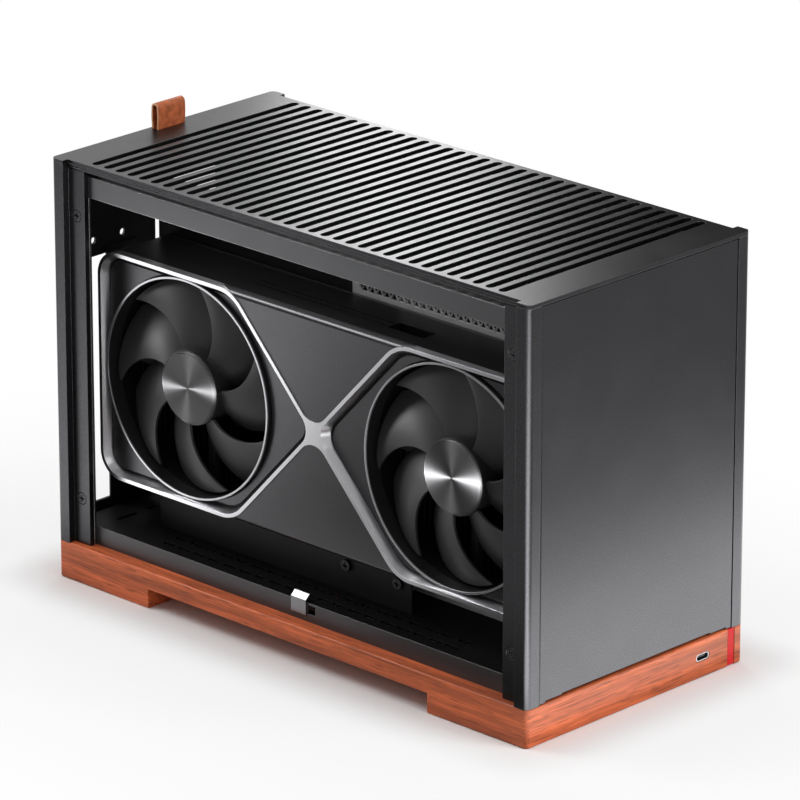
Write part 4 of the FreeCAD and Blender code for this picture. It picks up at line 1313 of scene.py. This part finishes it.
@dataclass
class Studio:
    """Pale floor, soft lamps, white surroundings and the camera.

    Args:
        eye: Where the camera stands.
        aim: Point in the middle of its picture.
        lens: Focal length, in millimetres.
        sensor: Width of the sensor, in millimetres.
        clip: Nearest and farthest distance that the camera sees.
        ambient: Strength of the surroundings as light on the object.
        floor_half: Half of the floor's width.
        floor_drop: How far the floor lies under the pads.
        floor_clouds: Clouds per metre in the floor's grey.
        floor_greys: The two greys of the clouds.
        floor_roughness: Roughness of the floor.
        near_fade: Distance from the case at which the first part of the floor's fade ends.
        far_fade: Distance from the case at which the floor is white.
        near_share: Share of white at the end of the first part.
    """

    eye: Point = (2.05513, -2.11706, 1.18982)
    aim: Point = (-0.0058, 0.0097, 0.1125)
    lens: float = 283.5
    sensor: float = 36.0
    clip: tuple[float, float] = (0.1, 50.0)
    ambient: float = 0.32
    floor_half: float = 5.0
    floor_drop: float = 0.2 * MM
    floor_clouds: float = 3.0
    floor_greys: tuple[float, float] = (0.86, 0.9)
    floor_roughness: float = 0.85
    near_fade: float = 0.04
    far_fade: float = 0.25
    near_share: float = 0.72

    def lamps(self) -> tuple[Lamp, ...]:
        """Lists the studio's lamps.

        Returns:
            The lamps, in the order in which they are set.
        """
        case = (0.0, 0.0, 0.1)
        top = (0.0, 0.0, 0.225)
        side = (0.0, -0.06, 0.17)
        fans = (0.0, -0.06, 0.116)
        blade = (-0.09, -0.06, 0.12)
        caps = tuple(f"hub_cap_{end.value}" for end in End)
        wheels = tuple(f"rotor_{end.value}" for end in End)
        posts = (*POSTS, "post_screws")
        diagonal = math.radians(45.0)
        slant = math.radians(-57.7)
        return (
            Lamp("key_soft", (1.25, 0.2, 1.15), case, (0.9, 0.9), 16.0),
            Lamp("over_soft", (-0.2, -0.3, 1.6), case, (1.2, 1.2), 3.5),
            Lamp("left_soft", (-0.80, -0.48, 0.98), side, (0.5, 0.5), 4.0),
            Lamp("top_sheen", (-0.32, 0.33, 0.40), top, (0.12, 0.22), 0.45),
            Lamp.on_floor("front_low", (0.235, 0.075), (0.13, 0.45), 0.7),
            Lamp("cap_low", (0.25, -0.36, 0.03), fans, (0.1, 0.1), 7.0, only=caps, sheen=True),
            Lamp.on_floor("corner_near", (0.263, -0.177), (0.17, 0.14), 0.57, diagonal, posts),
            Lamp.on_floor("corner_far", (0.454, -0.368), (0.39, 0.40), 3.8, diagonal, posts),
            Lamp.on_floor("post_low", (-0.085, -0.325), (0.45, 0.14), 0.10, -diagonal, posts),
            Lamp.on_floor("side_low", (-0.38, -0.33), (0.55, 0.16), 0.46, slant),
            Lamp("left_sheen", (-0.80, -0.63, 0.81), side, (0.75, 1.3), 9.0, sheen=True),
            Lamp("blade_sheen", (-0.74, -0.65, 0.30), blade, (0.25, 0.25), 4.5, only=wheels, sheen=True),
        )

    def flags(self) -> tuple[Flag, ...]:
        """Lists the cards that keep parts of the open side, the top and the front deep.

        Returns:
            The cards, in the order in which they are set.
        """
        low, high = 0.8 * MM, 0.75
        edge = ((0.02, -0.1), (0.0, -0.15), (-0.16, -0.2), (-0.32, -0.4), (-0.40, -0.5), (-0.6, -0.77))
        flat = tuple((x, y, low) for x, y in ((-0.32, -0.77), (0.33, -0.1), *edge))
        upright = ((-1.5, -0.2, low), (0.3, -1.6, low), (0.3, -1.6, high), (-1.5, -0.2, high))
        behind = (
            (-0.464, 0.609, 0.182),
            (-0.099, 0.965, 0.182),
            (0.043, 0.817, 0.746),
            (-0.322, 0.461, 0.746),
        )
        ahead = ((0.36, -0.3, low), (1.1, -0.3, low), (1.1, 1.1, low), (0.36, 1.1, low))
        return (
            Flag("side_flag", flat),
            Flag("side_wall", upright),
            Flag("top_flag", behind),
            Flag("front_flag", ahead, 0.55),
        )

    def surroundings(self) -> None:
        """White surroundings for the camera and for reflections, softer as light."""
        world = bpy.data.worlds.new("studio_white")
        world.use_nodes = True
        world.node_tree.nodes.clear()
        tree = Tree(world.node_tree)
        strength = tree.span(tree.seen(), 0.0, 1.0, self.ambient)
        light = tree.add("ShaderNodeBackground", {"Color": WHITE, "Strength": strength})
        tree.add("ShaderNodeOutputWorld", {"Surface": light.outputs[0]})
        bpy.context.scene.world = world

    def floor_material(self) -> bpy.types.Material:
        """Makes the floor's finish: matt near the case, and white to the eye farther off.

        Returns:
            The new material.
        """
        made, tree = blank_material("pale_floor")
        place = tree.place()
        cloud = tree.noise(place, self.floor_clouds, 3.0)
        colour = tree.blend(cloud, *(grey(level) for level in self.floor_greys))
        look = {"Base Color": colour, "Roughness": self.floor_roughness}
        matt = tree.add("ShaderNodeBsdfPrincipled", look)
        gaps = []
        for axis, half in ((Axis.X, CAD_BOX[1][0]), (Axis.Y, CAD_BOX[1][1])):
            beyond = tree.sum("SUBTRACT", tree.off_middle(place, axis), half)
            gaps.append(tree.sum("MAXIMUM", beyond, 0.0))
        gap = tree.add("ShaderNodeCombineXYZ", dict(enumerate(gaps))).outputs[0]
        away = tree.vector("LENGTH", gap)["Value"]
        near = tree.span(away, 0.0, self.near_fade, 0.0, self.near_share)
        far = tree.span(away, self.near_fade, self.far_fade, 0.0, 1.0 - self.near_share)
        fade = tree.sum("MULTIPLY", tree.sum("ADD", near, far), tree.seen())
        white = tree.add("ShaderNodeEmission", {"Color": WHITE, "Strength": 1.0})
        mixed = tree.add("ShaderNodeMixShader", {0: fade, 1: matt.outputs[0], 2: white.outputs[0]})
        tree.add("ShaderNodeOutputMaterial", {"Surface": mixed.outputs[0]})
        return made

    def floor(self) -> None:
        """Pale floor that keeps the shadow near the case and fades to white."""
        shape = bmesh.new()
        bmesh.ops.create_grid(shape, x_segments=24, y_segments=24, size=self.floor_half)
        mesh = bpy.data.meshes.new("floor")
        shape.to_mesh(mesh)
        shape.free()
        mesh.materials.append(self.floor_material())
        floor = put("floor", mesh)
        floor.location.z = -self.floor_drop

    def camera(self) -> None:
        """Camera at the photograph's viewing angle."""
        data = bpy.data.cameras.new("camera")
        data.sensor_width = self.sensor
        data.lens = self.lens
        data.clip_start, data.clip_end = self.clip
        camera = put("camera", data)
        camera.location = self.eye
        camera.rotation_euler = facing(self.eye, self.aim).to_euler()
        bpy.context.scene.camera = camera

    def build(self) -> None:
        """Sets up the whole studio."""
        self.surroundings()
        self.floor()
        for lamp in self.lamps():
            lamp.build()
            LOG.info("lamp %s set", lamp.name)
        for flag in self.flags():
            flag.build()
            LOG.info("flag %s set", flag.name)
        self.camera()
        bpy.context.scene.view_settings.view_transform = "Standard"


def main() -> None:
    """Builds the sub-assemblies in order, then the studio."""
    logging.basicConfig(level=logging.INFO, format="%(name)s: %(message)s")
    for part in (Plinth(), Shell(), PullTab(), Interior(), GraphicsCard(), Studio()):
        part.build()
        LOG.info("%s done", type(part).__name__)


if __name__ == "__main__":
    main()
